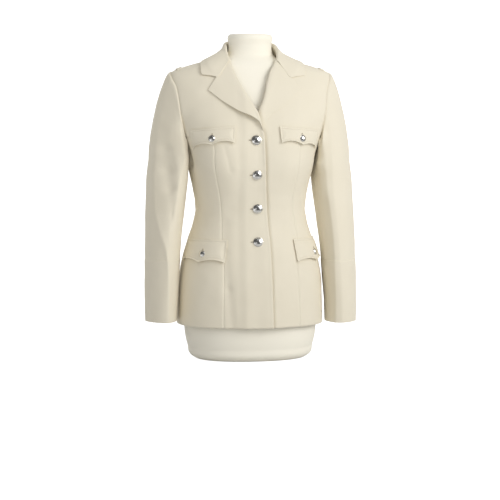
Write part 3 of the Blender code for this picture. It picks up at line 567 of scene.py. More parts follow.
def body_point(angle, height):
    """The point of the jacket's outer surface at an angle and a height."""
    angle, height = np.broadcast_arrays(np.asarray(angle, float), np.asarray(height, float))
    half_width, front, back, square, bust = np.moveaxis(read(BODY, height), -1, 0)
    x, y = ring_point(angle, half_width, front, back, square)
    fall = bell(np.abs(angle) - BUST_ANGLE, BUST_SPREAD)
    swell = 1 + bust * fall * (np.cos(np.radians(angle)) > 0)
    return np.stack([x * swell, y * swell, height - shoulder_drop(angle, height)], -1)


def surface(grid):
    """Points of the jacket's smooth surface at a grid of (angle, height)."""
    return body_point(grid[..., 0], grid[..., 1])


def body_normal(angle, height):
    """The outward unit normal of the jacket's surface."""
    turn = 0.02
    rise = 0.0002
    across = body_point(np.asarray(angle) + turn, height) - body_point(np.asarray(angle) - turn, height)
    up = body_point(angle, np.asarray(height) + rise) - body_point(angle, np.asarray(height) - rise)
    return unit(np.cross(across, up))


def skirt_turn(height):
    """The jacket's lower part sits turned a little towards +X on the form."""
    return SKIRT_TURN * smoothstep((SKIRT_TURN_TOP - np.asarray(height)) / SKIRT_TURN_DEPTH)


def past_right_edge(points):
    """How far points lie past the right front's edge, towards +X."""
    return points[..., 0] - np.interp(points[..., 2], *RIGHT_EDGE_PLACES)


def overlap_lift(points):
    """How far the right front stands off the body: it lies over the left front, and its edge is a soft ridge."""
    share = (points[..., 0] - OVERLAP_START) / (OVERLAP_FULL - OVERLAP_START)
    ridge = read(EDGE_RIDGE, points[..., 2])[..., 0] * bell(past_right_edge(points), EDGE_RIDGE_WIDTH)
    return OVERLAP_LIFT * smoothstep(share) + ridge


def groove_lift(points):
    """The left front gives way under the right front's edge."""
    below = smoothstep((BREAK_HEIGHT + EDGE_GROOVE_TOP - points[..., 2]) / EDGE_GROOVE_TOP)
    return -EDGE_GROOVE * below * bell(past_right_edge(points) - EDGE_GROOVE_PLACE, EDGE_GROOVE_WIDTH)


# ---------------------------------------------------------------- folds

def fold_lift(points, start, end, width, lift):
    """A soft ridge or trough along the straight line between two points."""
    run = end - start
    share = np.clip(((points - start) @ run) / (run @ run), 0.0, 1.0)
    away = np.linalg.norm(points - start - share[..., None] * run, axis=-1)
    return lift * bell(away, width)


def unevenness(points):
    total = np.zeros(points.shape[:-1])
    for direction, length, height, phase in UNEVEN:
        along = points @ unit(np.array(direction))
        total += height * np.sin(2 * math.pi * along / length + phase)
    return total


def hem_flare(angle, height):
    total = np.zeros(np.broadcast(angle, height).shape)
    for count, wave, phase in HEM_WAVES:
        total = total + wave * np.sin(np.radians(count * angle + phase))
    return total * smoothstep((HEM_WAVE_TOP - height) / HEM_WAVE_DEPTH)


def body_lift(angle, height):
    """How far the worn cloth stands off the smooth body surface."""
    points = body_point(angle, height)
    total = unevenness(points) + hem_flare(angle, height)
    for angle_a, height_a, angle_b, height_b, width, lift in BODY_FOLDS:
        start = body_point(angle_a, height_a)
        end = body_point(angle_b, height_b)
        total = total + fold_lift(points, start, end, width, lift)
    return total


def on_body(grid, lift=0.0):
    """Points of the worn cloth on the body surface, and the directions out of it."""
    angle = grid[..., 0]
    height = grid[..., 1]
    normals = body_normal(angle, height)
    total = body_lift(angle, height) + lift
    return surface(grid) + normals * total[..., None], normals


# ---------------------------------------------------------------- seams, as rows of (angle, height)

def stretch(table, count, skip_first=True):
    """A short stretch of seam with count equal steps."""
    rows = read(table, np.linspace(0, 1, count + 1))
    return rows[1:] if skip_first else rows


def straight_rows():
    return np.linspace(HEM_HEIGHT, ROW_TOP, ROWS_STRAIGHT + 1)


def rows_up(top):
    """Heights of a seam's points from the hem to ROW_TOP, and in ROWS_CHEST steps to the height top."""
    return np.concatenate([straight_rows(), np.linspace(ROW_TOP, top, ROWS_CHEST + 1)[1:]])


def sided(rows, side):
    return rows * np.array([side, 1.0])


def princess_seam(side):
    """From the hem to the chest, then out under the chest flap to the armhole."""
    half = ROWS_CHEST // 2
    low = np.concatenate([straight_rows(), np.linspace(ROW_TOP, PRINCESS[-1, 0], half + 1)[1:]])
    angles = side * read(PRINCESS, low)[..., 0] + skirt_turn(low)
    rows = np.stack([angles, low], -1)
    return np.concatenate([rows, sided(stretch(UNDER_FLAP, ROWS_CHEST - half), side)])


def centre_back_seam(side, top):
    heights = rows_up(top)
    return np.stack([np.full_like(heights, side * BACK_ANGLE), heights], -1)


def side_back_seam(side):
    low = straight_rows()
    rows = np.stack([side * read(SIDE_BACK, low)[..., 0], low], -1)
    return np.concatenate([rows, sided(stretch(SIDE_BACK_TOP, ROWS_CHEST), side)])


def front_edge(side):
    """The closing edge, from the hem to the break of the lapel."""
    heights = rows_up(BREAK_HEIGHT)
    table = FRONT_EDGE if side < 0 else HIDDEN_EDGE
    return np.stack([read(table, heights)[..., 0], heights], -1)


def roll_line(side):
    return RIGHT_ROLL if side < 0 else LEFT_ROLL


def right_edge_places():
    """Heights up the right front's edge and roll line, and how far across it lies at each."""
    roll = read(RIGHT_ROLL, np.linspace(0, 1, ROWS_UPPER))[1:]
    points = body_point(*np.concatenate([front_edge(-1), roll]).T)
    return points[:, 2], points[:, 0]


RIGHT_EDGE_PLACES = right_edge_places()


# ---------------------------------------------------------------- patches and shells

def patch(left, right, bottom, top):
    """A Coons patch of (angle, height) between four rows of points that share their corners."""
    v = np.linspace(0, 1, len(left))[:, None, None]
    u = np.linspace(0, 1, len(bottom))[None, :, None]
    sides = (1 - u) * left[:, None] + u * right[:, None]
    ends = (1 - v) * bottom[None] + v * top[None]
    low = (1 - u) * left[0] + u * right[0]
    high = (1 - u) * left[-1] + u * right[-1]
    return sides + ends - ((1 - v) * low + v * high)


def line(start, end, count):
    return np.linspace(start, end, count + 1)


def grid_normals(points, wrap=False):
    """Unit normals of a grid of points: columns run across, rows run up."""
    if wrap:
        across = np.roll(points, -1, axis=1) - np.roll(points, 1, axis=1)
    else:
        across = np.gradient(points, axis=1)
    return unit(np.cross(across, np.gradient(points, axis=0)))


def edges_of(wrap):
    """Each edge of a grid, and the line of points beside it."""
    everything = slice(None)
    edges = [((0, everything), (1, everything)), ((-1, everything), (-2, everything))]
    if not wrap:
        edges += [((everything, 0), (everything, 1)), ((everything, -1), (everything, -2))]
    return edges


def off_edge(points, wrap):
    """At each point of the grid's edges, the direction that leads off the cloth, and zero elsewhere."""
    out = np.zeros_like(points)
    normals = grid_normals(points, wrap)
    for edge, near in edges_of(wrap):
        tangent = np.gradient(points[edge], axis=0)
        square = unit(np.cross(normals[edge], tangent))
        sign = np.sign(np.sum(square * (points[edge] - points[near]), axis=-1, keepdims=True))
        out[edge] += square * sign
    return out


def edge_distance(points, wrap=False):
    """How far each point of a grid is from the nearest of its edges, along the rows and columns."""
    steps_up = np.linalg.norm(np.diff(points, axis=0), axis=-1)
    up = np.concatenate([np.zeros((1, points.shape[1])), np.cumsum(steps_up, axis=0)])
    down = up[-1:] - up
    if wrap:
        return {"bottom": up, "top": down}
    steps_across = np.linalg.norm(np.diff(points, axis=1), axis=-1)
    across = np.concatenate([np.zeros((points.shape[0], 1)), np.cumsum(steps_across, axis=1)], axis=1)
    return {"bottom": up, "top": down, "first": across, "last": across[:, -1:] - across}


def seam_dip(points, seams, wrap=False):
    """The cloth turns in towards each of the named seams."""
    distance = edge_distance(points, wrap)
    dip = np.zeros(points.shape[:2])
    for seam in seams:
        dip = np.maximum(dip, SEAM_DIP * bell(distance[seam], SEAM_REACH))
    return -dip


def add_object(name, data):
    made = bpy.data.objects.new(name, data)
    bpy.context.scene.collection.objects.link(made)
    return made


def mesh_object(name, points, faces, uvs, finish):
    """A mesh from points and faces, with its faces turned outwards and one pair of cloth coordinates a point."""
    mesh = bpy.data.meshes.new(name)
    mesh.from_pydata(points.tolist(), [], faces)
    shape = bmesh.new()
    shape.from_mesh(mesh)
    bmesh.ops.recalc_face_normals(shape, faces=shape.faces[:])
    shape.to_mesh(mesh)
    shape.free()
    layer = mesh.uv_layers.new(name="cloth")
    corners = np.zeros(len(mesh.loops), int)
    mesh.loops.foreach_get("vertex_index", corners)
    layer.data.foreach_set("uv", uvs[corners].ravel())
    mesh.shade_smooth()
    mesh.materials.append(finish)
    return add_object(name, mesh)


def grid_faces(first, rows, columns, wrap):
    """Quads of a grid whose points start at index first."""
    index = first + np.arange(rows * columns).reshape(rows, columns)
    if wrap:
        index = np.concatenate([index, index[:, :1]], axis=1)
    corners = [index[:-1, :-1], index[:-1, 1:], index[1:, 1:], index[1:, :-1]]
    return np.stack(corners, -1).reshape(-1, 4)


def rim_loops(rows, columns, wrap):
    index = np.arange(rows * columns).reshape(rows, columns)
    if wrap:
        return [index[0], index[-1]]
    return [np.concatenate([index[0, :-1], index[:-1, -1], index[-1, :0:-1], index[:0:-1, 0]])]


def cloth_coordinates(points):
    """Metres across and along the cloth, from the middle of its first row."""
    distance = edge_distance(points)
    across = distance["first"] - distance["first"][:, -1:] / 2
    return np.stack([across, distance["bottom"]], -1)


def shell(name, points, normals, finish, wrap=False, gap=0.0, thickness=WALL, edge=EDGE_ROUND):
    """A thin closed cloth: the grid of points is its face, and its rims are rounded over."""
    rows, columns = points.shape[:2]
    thickness = np.broadcast_to(np.asarray(thickness, float), (rows, columns))[..., None]
    off = off_edge(points, wrap)
    face = points - off * (gap + edge)
    back = face - normals * thickness
    uv = cloth_coordinates(points).reshape(-1, 2)
    all_points = [face.reshape(-1, 3), back.reshape(-1, 3)]
    all_uvs = [uv, uv]
    half = rows * columns
    faces = [grid_faces(0, rows, columns, wrap), grid_faces(half, rows, columns, wrap)[:, ::-1]]
    middle = ((face + back) / 2).reshape(-1, 3)
    reach = ((face - back) / 2).reshape(-1, 3)
    outward = unit(off).reshape(-1, 3)
    count = 2 * half
    for loop in rim_loops(rows, columns, wrap):
        layers = [loop]
        for turn in EDGE_TURNS:
            a = math.radians(turn)
            ring = middle[loop] + reach[loop] * math.cos(a) + outward[loop] * edge * math.sin(a)
            all_points.append(ring)
            all_uvs.append(uv[loop])
            layers.append(count + np.arange(len(loop)))
            count += len(loop)
        layers.append(half + loop)
        for near, far in zip(layers[:-1], layers[1:]):
            faces.append(np.stack([near, np.roll(near, -1), np.roll(far, -1), far], -1))
    faces = np.concatenate(faces).tolist()
    return mesh_object(name, np.concatenate(all_points), faces, np.concatenate(all_uvs), finish)


def finish_piece(piece, slot, *nodes):
    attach(piece, "root")
    if nodes:
        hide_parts(*nodes)


def cloth_piece(node, points, normals, held, rests_on, **shape):
    """A thin shell that stands for the solid node, which it hides. shape goes on to shell."""
    piece = shell(node + "_cloth", points, normals, MATERIALS["cloth"], **shape)
    finish_piece(piece, "jacket_cloth", node)


def side_name(side):
    return "right" if side < 0 else "left"


# how the edges of a piece that is sewn in all round are finished
SEWN = {"gap": -SEWN_TUCK, "edge": SEWN_EDGE_ROUND}

# ---------------------------------------------------------------- body pieces

def body_panel(side, kind, grid, seams, lift=0.0):
    """A body panel between its seams. seams names the sides of the grid that are sewn to another piece."""
    smooth = surface(grid)
    lift = lift + seam_dip(smooth, seams)
    points, normals = on_body(grid, lift)
    node = f"{side_name(side)}_{kind}"
    cloth_piece(node, points, normals, "hung", ["form_cover"], **SEWN)


def front_panel(side):
    edge = front_edge(side)
    rows = ROWS_UPPER - ROWS_NECK_FRONT + 1
    roll = read(roll_line(side), np.linspace(0, 1, rows))[1:]
    neck = sided(stretch(NECK_FRONT, ROWS_NECK_FRONT), side)
    inner_edge = np.concatenate([edge, roll, neck])
    outer_edge = np.concatenate([princess_seam(side), sided(stretch(ARMHOLE_FRONT, ROWS_UPPER), side)])
    hem = line(inner_edge[0], outer_edge[0], COLUMNS_WIDE)
    shoulder = line(inner_edge[-1], outer_edge[-1], COLUMNS_WIDE)
    grid = patch(inner_edge, outer_edge, hem, shoulder)
    smooth = surface(grid)
    lift = overlap_lift(smooth) if side < 0 else groove_lift(smooth)
    body_panel(side, "front", grid, ("last", "top"), lift)


def side_panel(side):
    """From the princess seam round under the arm to the side back seam."""
    front = princess_seam(side)
    back = side_back_seam(side)
    hem = line(front[0], back[0], 2 * COLUMNS_UNDER_ARM)
    low_front = sided(stretch(ARMHOLE_LOW_FRONT, COLUMNS_UNDER_ARM, skip_first=False), side)
    low_back = sided(stretch(ARMHOLE_LOW_BACK, COLUMNS_UNDER_ARM), side)
    armhole = np.concatenate([low_front, low_back])
    body_panel(side, "side", patch(front, back, hem, armhole), ("first", "last", "top"))


def back_panel(side):
    rows_centre = ROWS_UPPER - ROWS_NECK_BACK
    low = centre_back_seam(side, SIDE_BACK_TOP[-1, 2])
    high = line(low[-1], (side * BACK_ANGLE, BACK_NECK_HEIGHT), rows_centre)[1:]
    neck = sided(stretch(NECK_BACK, ROWS_NECK_BACK), side)
    inner_edge = np.concatenate([low, high, neck])
    outer_edge = np.concatenate([side_back_seam(side), sided(stretch(ARMHOLE_BACK, ROWS_UPPER), side)])
    hem = line(inner_edge[0], outer_edge[0], COLUMNS_WIDE)
    shoulder = line(inner_edge[-1], outer_edge[-1], COLUMNS_WIDE)
    grid = patch(inner_edge, outer_edge, hem, shoulder)
    body_panel(side, "back", grid, ("first", "last", "top"))


# ---------------------------------------------------------------- lapels and collar

def across_columns(controls, count):
    """Draws smooth rows through the columns of a grid of control points."""
    lengths = np.linalg.norm(np.diff(controls, axis=1), axis=-1).mean(axis=0)
    keys = np.concatenate([[0], np.cumsum(lengths)])
    flat = np.moveaxis(controls, 1, 0).reshape(len(keys), -1)
    table = np.concatenate([keys[:, None], flat], axis=1)
    drawn = read(table, np.linspace(0, keys[-1], count + 1))
    return np.moveaxis(drawn.reshape(count + 1, -1, 3), 0, 1)


def lapel(side):
    """The turned-back top of a front: a leaf that starts with a roll past the front's edge."""
    start = RIGHT_LAPEL_START if side < 0 else LEFT_LAPEL_START
    edge_table = RIGHT_LAPEL_EDGE if side < 0 else LEFT_LAPEL_EDGE
    rows = np.linspace(start, 1, ROWS_UPPER - ROWS_NECK_FRONT + 1)
    along = ((rows - start) / (1 - start))[:, None]
    roll = read(roll_line(side), rows)
    edge = read(edge_table, along[:, 0])
    share, push, rise = LAPEL_SECTION.T
    grid = (1 - share[:, None]) * roll[:, None] + share[:, None] * edge[:, None]
    tucked = smoothstep((along - LAPEL_TUCK_START) / (1 - LAPEL_TUCK_START)) * (1 - share)
    grid = grid + tucked[..., None] * np.array(LAPEL_TUCK) * np.array([side, 1])
    points, normals = on_body(grid)
    puff = LAPEL_PUFF * smoothstep(1 - along) * np.sin(np.pi * share)
    lift = WALL + LAYER_GAP + rise + puff
    if side < 0:
        # the right lapel grows out of the ridge along the front's edge
        grown = smoothstep(along / LAPEL_MERGE)
        stand = LAPEL_STAND * bell(along - LAPEL_STAND_PLACE, LAPEL_STAND_SPREAD)
        lift = overlap_lift(points) + LAPEL_FLUSH + (lift + stand * share**2) * grown
        thin = LAPEL_THIN_END + (1 - LAPEL_THIN_END) * grown + 0 * share
    else:
        # the left lapel goes under the right front, and its outer edge lies flat on the chest
        grown = np.ones_like(along)
        clear = smoothstep(past_right_edge(points) / LEFT_LAPEL_DIP_WIDTH)
        thin = (1 - LEFT_LAPEL_FLUSH * smoothstep(share)) * (1 - LEFT_LAPEL_DIP * (1 - clear))
        sink = LEFT_LAPEL_SINK * smoothstep(share) * (1 - smoothstep(along / LEFT_LAPEL_SINK_TOP))
        lift = lift * thin - sink
    past = unit(np.cross(normals[:, 0], np.gradient(points[:, 0], axis=0))) * side
    out = past[:, None] * (push * (LAPEL_PUSH_LOW + (1 - LAPEL_PUSH_LOW) * grown))[..., None]
    controls = points + normals * lift[..., None] + out
    face = across_columns(controls, COLUMNS_LAPEL)
    normals = side * grid_normals(face)
    thickness = WALL * np.array([np.interp(np.linspace(0, 1, COLUMNS_LAPEL + 1), share, row) for row in thin])
    name = side_name(side)
    cloth_piece(name + "_lapel", face, normals, "folded", [name + "_front_cloth"], thickness=thickness)


def collar_half(side):
    """Grid of the collar's outer face for one side: rows from the lapel to the centre back."""
    front = read(NECK_FRONT, np.linspace(COLLAR_START, 1, COLLAR_STATIONS_FRONT + 1))
    back = stretch(NECK_BACK, COLLAR_STATIONS_BACK, skip_first=False)[-2::-1]
    seam = np.concatenate([front, back])
    share = np.concatenate([
        np.linspace(0, COLLAR_SHOULDER, COLLAR_STATIONS_FRONT + 1),
        np.linspace(COLLAR_SHOULDER, 1, COLLAR_STATIONS_BACK + 1)[1:],
    ])
    values = read(COLLAR, share)
    fold = values[:, :3]
    edge = values[:, 3:]
    foot = surface(seam)
    away = unit(fold * np.array([1, 1, 0]))
    foot = foot - away * COLLAR_FOOT_IN + np.array([0, 0, SEAM_GAP])
    inside = fold - away * COLLAR_TURN - np.array([0, 0, COLLAR_TURN])
    outside = fold + away * COLLAR_TURN - np.array([0, 0, COLLAR_TURN])
    flat = 1 - smoothstep(share / COLLAR_SHOULDER)[:, None]
    columns = [foot, (foot + inside) / 2, inside, fold, outside]
    flush = LEFT_COLLAR_FLUSH * (1 - smoothstep(share / LEFT_COLLAR_FLUSH_REACH)) * (side > 0)
    seam_lift = body_normal(seam[:, 0], seam[:, 1]) * COLLAR_LIFT
    hold = outside - surface(seam) - seam_lift
    # over the shoulder the right leaf stays fuller and the left one falls closer
    ends = 1 - smoothstep((share - COLLAR_FALL_FADE_FROM) / COLLAR_FALL_FADE_OVER)
    change = RIGHT_COLLAR_FALL if side < 0 else LEFT_COLLAR_FALL
    fall = COLLAR_FALL + (change * smoothstep(share / COLLAR_FALL_START) * ends)[:, None]
    for t in COLLAR_LEAF:
        straight = (1 - t) * seam + t * edge
        bend = seam[0] + (NOTCH - seam[0]) * 2 * t if t <= 0.5 else NOTCH + (edge[0] - NOTCH) * (2 * t - 1)
        place = straight + flat * (bend - straight[0])
        points, _ = on_body(place, COLLAR_LIFT - flush)
        columns.append(points + hold * (1 - t) ** fall)
    return across_columns(np.stack(columns, axis=1) * np.array([side, 1, 1]), COLUMNS_COLLAR)


def collar():
    """Stand, fold and leaf in one strip that runs round the neck from lapel to lapel."""
    face = np.concatenate([collar_half(-1), collar_half(1)[-2::-1]])
    cloth_piece("collar", face, grid_normals(face), "folded", ["right_front_cloth", "left_front_cloth"])


# ---------------------------------------------------------------- sleeves and cuffs

def armhole_loop():
    """The armhole from the shoulder point down the front, under the arm and up the back: angle, height."""
    front = stretch(ARMHOLE_FRONT, ROWS_UPPER, skip_first=False)[::-1]
    low_front = stretch(ARMHOLE_LOW_FRONT, COLUMNS_UNDER_ARM)
    low_back = stretch(ARMHOLE_LOW_BACK, COLUMNS_UNDER_ARM)
    back = stretch(ARMHOLE_BACK, ROWS_UPPER)[:-1]
    return np.concatenate([front, low_front, low_back, back])


def armhole_points():
    return surface(armhole_loop()) + np.array([ARMHOLE_STEP, 0, 0])


def sleeve_ring(height, bearing, side):
    """A ring of the sleeve: bearing 0 points away from the body and 90 to the front."""
    out, depth, half_width, half_depth, lean = np.moveaxis(read(SLEEVE, height), -1, 0)
    lean = lean + read(CREASE_LEAN, height)[..., 0 if side < 0 else 1]
    across = np.cos(np.radians(bearing))
    forward = np.sin(np.radians(bearing))
    power = 2 / np.where(forward > 0, SLEEVE_SQUARE_FRONT, SLEEVE_SQUARE_BACK)
    x = out + half_width * np.sign(across) * np.abs(across) ** power - lean * np.maximum(forward, 0) ** 2
    y = depth - half_depth * np.sign(forward) * np.abs(forward) ** power
    return np.stack([x, y, np.broadcast_to(height, x.shape)], -1)


def sleeve_bearings(armhole):
    """Bearings that share the ring out as the armhole shares out its own length."""
    steps = np.linalg.norm(np.roll(armhole, -1, axis=0) - armhole, axis=1)
    along = np.concatenate([[0], np.cumsum(steps)])
    bottom = ROWS_UPPER + COLUMNS_UNDER_ARM
    front = along[:-1] / along[bottom] * 180
    back = 180 + (along[:-1] - along[bottom]) / (along[-1] - along[bottom]) * 180
    return np.where(np.arange(len(armhole)) <= bottom, front, back)


def cuff_top(side):
    return CUFF_TOP + (RIGHT_CUFF_RISE if side < 0 else 0.0)


def sleeve_grid(side):
    """Outer points of the smooth sleeve, drawn on the +X side: rows from the cuff to the armhole."""
    start = armhole_points()
    bearing = sleeve_bearings(start)
    top = SLEEVE[-1, 0]
    end = sleeve_ring(np.full_like(bearing, top), bearing, side)
    rise = smoothstep((start[:, 2] - ARMPIT_HEIGHT) / (SHOULDER_HEIGHT - ARMPIT_HEIGHT))
    chord = np.linalg.norm(end - start, axis=1)
    leave = np.stack([SLEEVE_HEAD_REACH * rise, 0 * rise, -(1 - rise) * chord], -1)
    arrive = np.stack([0 * chord, 0 * chord, -np.minimum(chord, SLEEVE_HEAD_DROP)], -1)
    rows = [hermite(s, start, leave, end, arrive) for s in np.linspace(0, 1, ROWS_SLEEVE_CAP + 1)]
    for height in np.linspace(top, cuff_top(side) - CUFF_TUCK, ROWS_ARM + 1)[1:]:
        rows.append(sleeve_ring(np.full_like(bearing, height), bearing, side))
    return np.array(rows)[::-1]


def laid_flat(bearing, height):
    """Places on a sleeve as metres round it and metres up it."""
    bearing, height = np.broadcast_arrays(np.asarray(bearing, float), np.asarray(height, float))
    return np.stack([np.radians(bearing) * SLEEVE_FLAT_RADIUS, height], -1)


def sleeve_lift(points, bearing, side):
    """How far the worn sleeve stands off the smooth one, at points of the +X side and their bearings."""
    height = points[..., 2]
    flat = laid_flat(bearing, height)
    crease = laid_flat(read(RIGHT_CREASE if side < 0 else LEFT_CREASE, height)[..., 0], height)
    away = np.hypot(flat[..., 0] - crease[..., 0], CREASE_ROUND) - CREASE_ROUND
    pressed = smoothstep((CREASE_TOP - height) / CREASE_FADE)
    total = unevenness(points * np.array([side, 1, 1])) + CREASE_LIFT * pressed * np.exp(-away / CREASE_WIDTH)
    folds = RIGHT_SLEEVE_FOLDS if side < 0 else LEFT_SLEEVE_FOLDS
    for bearing_a, height_a, bearing_b, height_b, width, lift in folds:
        start = laid_flat(bearing_a, height_a)
        end = laid_flat(bearing_b, height_b)
        total = total + fold_lift(flat, start, end, width, lift)
    return total


def sleeve(side):
    """Top and under sleeve, split at the front and back seams."""
    smooth = sleeve_grid(side)
    normals = -grid_normals(smooth, wrap=True)
    lift = sleeve_lift(smooth, sleeve_bearings(armhole_points()), side)
    from_armhole = edge_distance(smooth, wrap=True)["top"]
    high = smoothstep((smooth[..., 2] - ARMPIT_HEIGHT) / (SHOULDER_HEIGHT - ARMPIT_HEIGHT))
    roll = from_armhole / SLEEVE_HEAD_WIDTH
    lift = lift * smoothstep(roll / 2) + SLEEVE_HEAD_ROLL * high * roll * np.exp(1 - roll)
    mirror = np.array([side, 1, 1])
    # the seam goes in and out with the body's cloth
    angle, height = armhole_loop().T * np.array([[side], [1]])
    with_body = body_normal(angle, height) * body_lift(angle, height)[:, None]
    smooth = smooth + with_body * mirror * bell(from_armhole, SEAM_FOLLOW)[..., None]
    columns = smooth.shape[1]
    front_split = ROWS_UPPER + FRONT_SEAM_DROP
    back_split = ROWS_UPPER + 2 * COLUMNS_UNDER_ARM + BACK_SEAM_RISE
    around = list(range(back_split, columns)) + list(range(0, front_split + 1))
    under = list(range(front_split, back_split + 1))
    for kind, chosen in (("top_sleeve", around), ("under_sleeve", under)):
        total = lift[:, chosen] + seam_dip(smooth[:, chosen], ("first", "last", "top"))
        points = smooth[:, chosen] + normals[:, chosen] * total[..., None]
        name = side_name(side)
        outward = normals[:, chosen] * mirror
        cloth_piece(f"{name}_{kind}", points * mirror, outward, "hung", [name + "_front_cloth"], **SEWN)


def cuff(side):
    bearing = sleeve_bearings(armhole_points())
    rows = []
    hem = SLEEVE[0, 0] + (RIGHT_HEM_RISE if side < 0 else 0.0)
    for height in np.linspace(hem, cuff_top(side) - SEAM_GAP, ROWS_CUFF + 1):
        rows.append(sleeve_ring(np.full_like(bearing, height), bearing, side))
    smooth = np.array(rows)
    normals = -grid_normals(smooth, wrap=True)
    lift = sleeve_lift(smooth, bearing, side) + CUFF_LIFT + seam_dip(smooth, ("top",), wrap=True)
    mirror = np.array([side, 1, 1])
    points = (smooth + normals * lift[..., None]) * mirror
    name = side_name(side)
    cloth_piece(name + "_cuff", points, normals * mirror, "hung", [name + "_top_sleeve_cloth"], wrap=True)


# ---------------------------------------------------------------- sewing

def sewn_detail(name, points, faces, finish):
    finish_piece(mesh_object(name, points, faces, np.zeros((len(points), 2)), finish), "jacket_cloth")


def worked_hole(name, angle, height, bearing, length, shift, lift):
    """A buttonhole that starts under a button and runs along a bearing: a slit bound with thread, its opening a dark
    sheet of painted shade.
    """
    turn = np.linspace(0, 2 * math.pi, HOLE_STEPS, endpoint=False)
    along = np.sign(np.cos(turn)) * np.abs(np.cos(turn)) ** HOLE_ROUND * length / 2
    aside = np.sign(np.sin(turn)) * np.abs(np.sin(turn)) ** HOLE_ROUND * HOLE_WIDTH / 2
    radius = np.linalg.norm(body_point(angle, height)[:2])
    a = math.radians(bearing)

    def laid(reach, width, raised):
        across = math.cos(a) * (shift + reach) - math.sin(a) * width
        up = math.sin(a) * (shift + reach) + math.cos(a) * width
        grid = np.stack([angle + np.degrees(across / radius), height + up], -1)
        return on_body(grid, lift(surface(grid)) + raised)

    path, outward = laid(along, aside, HOLE_LIFT)
    run = unit(np.roll(path, -1, axis=0) - np.roll(path, 1, axis=0))
    across = unit(np.cross(outward, run))[:, None]
    turn = np.linspace(0, 2 * math.pi, THREAD_SIDES, endpoint=False)[None, :, None]
    rings = path[:, None] + HOLE_THREAD * (across * np.cos(turn) + outward[:, None] * np.sin(turn))
    rings = np.concatenate([rings, rings[:1]])
    faces = grid_faces(0, len(rings), THREAD_SIDES, wrap=True).tolist()
    sewn_detail(name + "_binding", rings.reshape(-1, 3), faces, MATERIALS["thread"])
    # the opening is a flat near-black sheet: painted shade where the gap between the bound edges shows
    slit, _ = laid(along * SLIT_LENGTH_SHARE, aside * SLIT_WIDTH_SHARE, HOLE_LIFT)
    sewn_detail(name + "_slit", slit, [tuple(range(HOLE_STEPS))], MATERIALS["slit"])


def sampled(grid, row, column):
    """Reads a grid of points between its rows and columns."""
    i = np.clip(row.astype(int), 0, grid.shape[0] - 2)
    j = np.clip(column.astype(int), 0, grid.shape[1] - 2)
    v = (row - i)[:, None]
    u = (column - j)[:, None]
    low = (1 - u) * grid[i, j] + u * grid[i, j + 1]
    high = (1 - u) * grid[i + 1, j] + u * grid[i + 1, j + 1]
    return (1 - v) * low + v * high


def stitches(name, path, outward):
    """Short stitches in a row along a path, drawn as one piece."""
    along = np.concatenate([[0], np.cumsum(np.linalg.norm(np.diff(path, axis=0), axis=1))])
    starts = np.arange(STITCH_PITCH, along[-1] - STITCH_PITCH, STITCH_PITCH)

    def at(values, place):
        return np.stack([np.interp(place, along, values[:, k]) for k in range(3)], -1)

    first, last = at(path, starts), at(path, starts + STITCH_LENGTH)
    out = unit(at(outward, starts + STITCH_LENGTH / 2))
    across = unit(np.cross(out, last - first))
    turn = np.linspace(0, 2 * math.pi, STITCH_SIDES, endpoint=False)[None, :, None]
    rings = []
    for share, size in ((0.0, 0.2), (0.2, 1.0), (0.8, 1.0), (1.0, 0.2)):
        centre = (1 - share) * first + share * last + out * STITCH_LIFT
        ring = across[:, None] * np.cos(turn) + out[:, None] * np.sin(turn)
        rings.append(centre[:, None] + STITCH_RADIUS * size * ring)
    rings = np.stack(rings, axis=1)
    each = rings.shape[1] * STITCH_SIDES
    faces = [grid_faces(k * each, rings.shape[1], STITCH_SIDES, wrap=True) for k in range(len(rings))]
    sewn_detail(name, rings.reshape(-1, 3), np.concatenate(faces).tolist(), MATERIALS["thread"])


def flap_stitches(node, points, normals, distance):
    """The row of stitches round a flap, in the channel inside its rim."""
    tall = distance["top"][0]
    end = FLAP_STITCH_INSET / distance["last"][0, 0] * COLUMNS_FLAP
    columns = np.linspace(end, COLUMNS_FLAP - end, STITCH_SAMPLES)
    low = FLAP_STITCH_INSET / np.interp(columns, np.arange(len(tall)), tall) * ROWS_FLAP
    high = ROWS_FLAP - low
    upward = np.linspace(low[-1], high[-1], STITCH_SAMPLES)
    downward = np.linspace(high[0], low[0], STITCH_SAMPLES)
    row = np.concatenate([low, upward, high[::-1], downward])
    column = np.concatenate([columns, 0 * upward + columns[-1], columns[::-1], 0 * downward + columns[0]])
    stitches(node + "_stitches", sampled(points, row, column), sampled(normals, row, column))


# ---------------------------------------------------------------- flaps, loops and buttons

def flap_grid(table, side, turned):
    """Places of a flap whose bottom edge has three points."""
    along = np.linspace(0, 1, COLUMNS_FLAP + 1)
    angle, top, bottom = read(table, along).T
    bottom = bottom + FLAP_RISE * np.abs(np.sin(2 * np.pi * along)) ** FLAP_ROUND
    up = np.linspace(0, 1, ROWS_FLAP + 1)[:, None]
    height = (1 - up) * bottom[None] + up * top[None]
    angles = np.broadcast_to(side * angle[None], height.shape)
    if turned:
        angles = angles + skirt_turn(height)
    return np.stack([angles, height], -1)


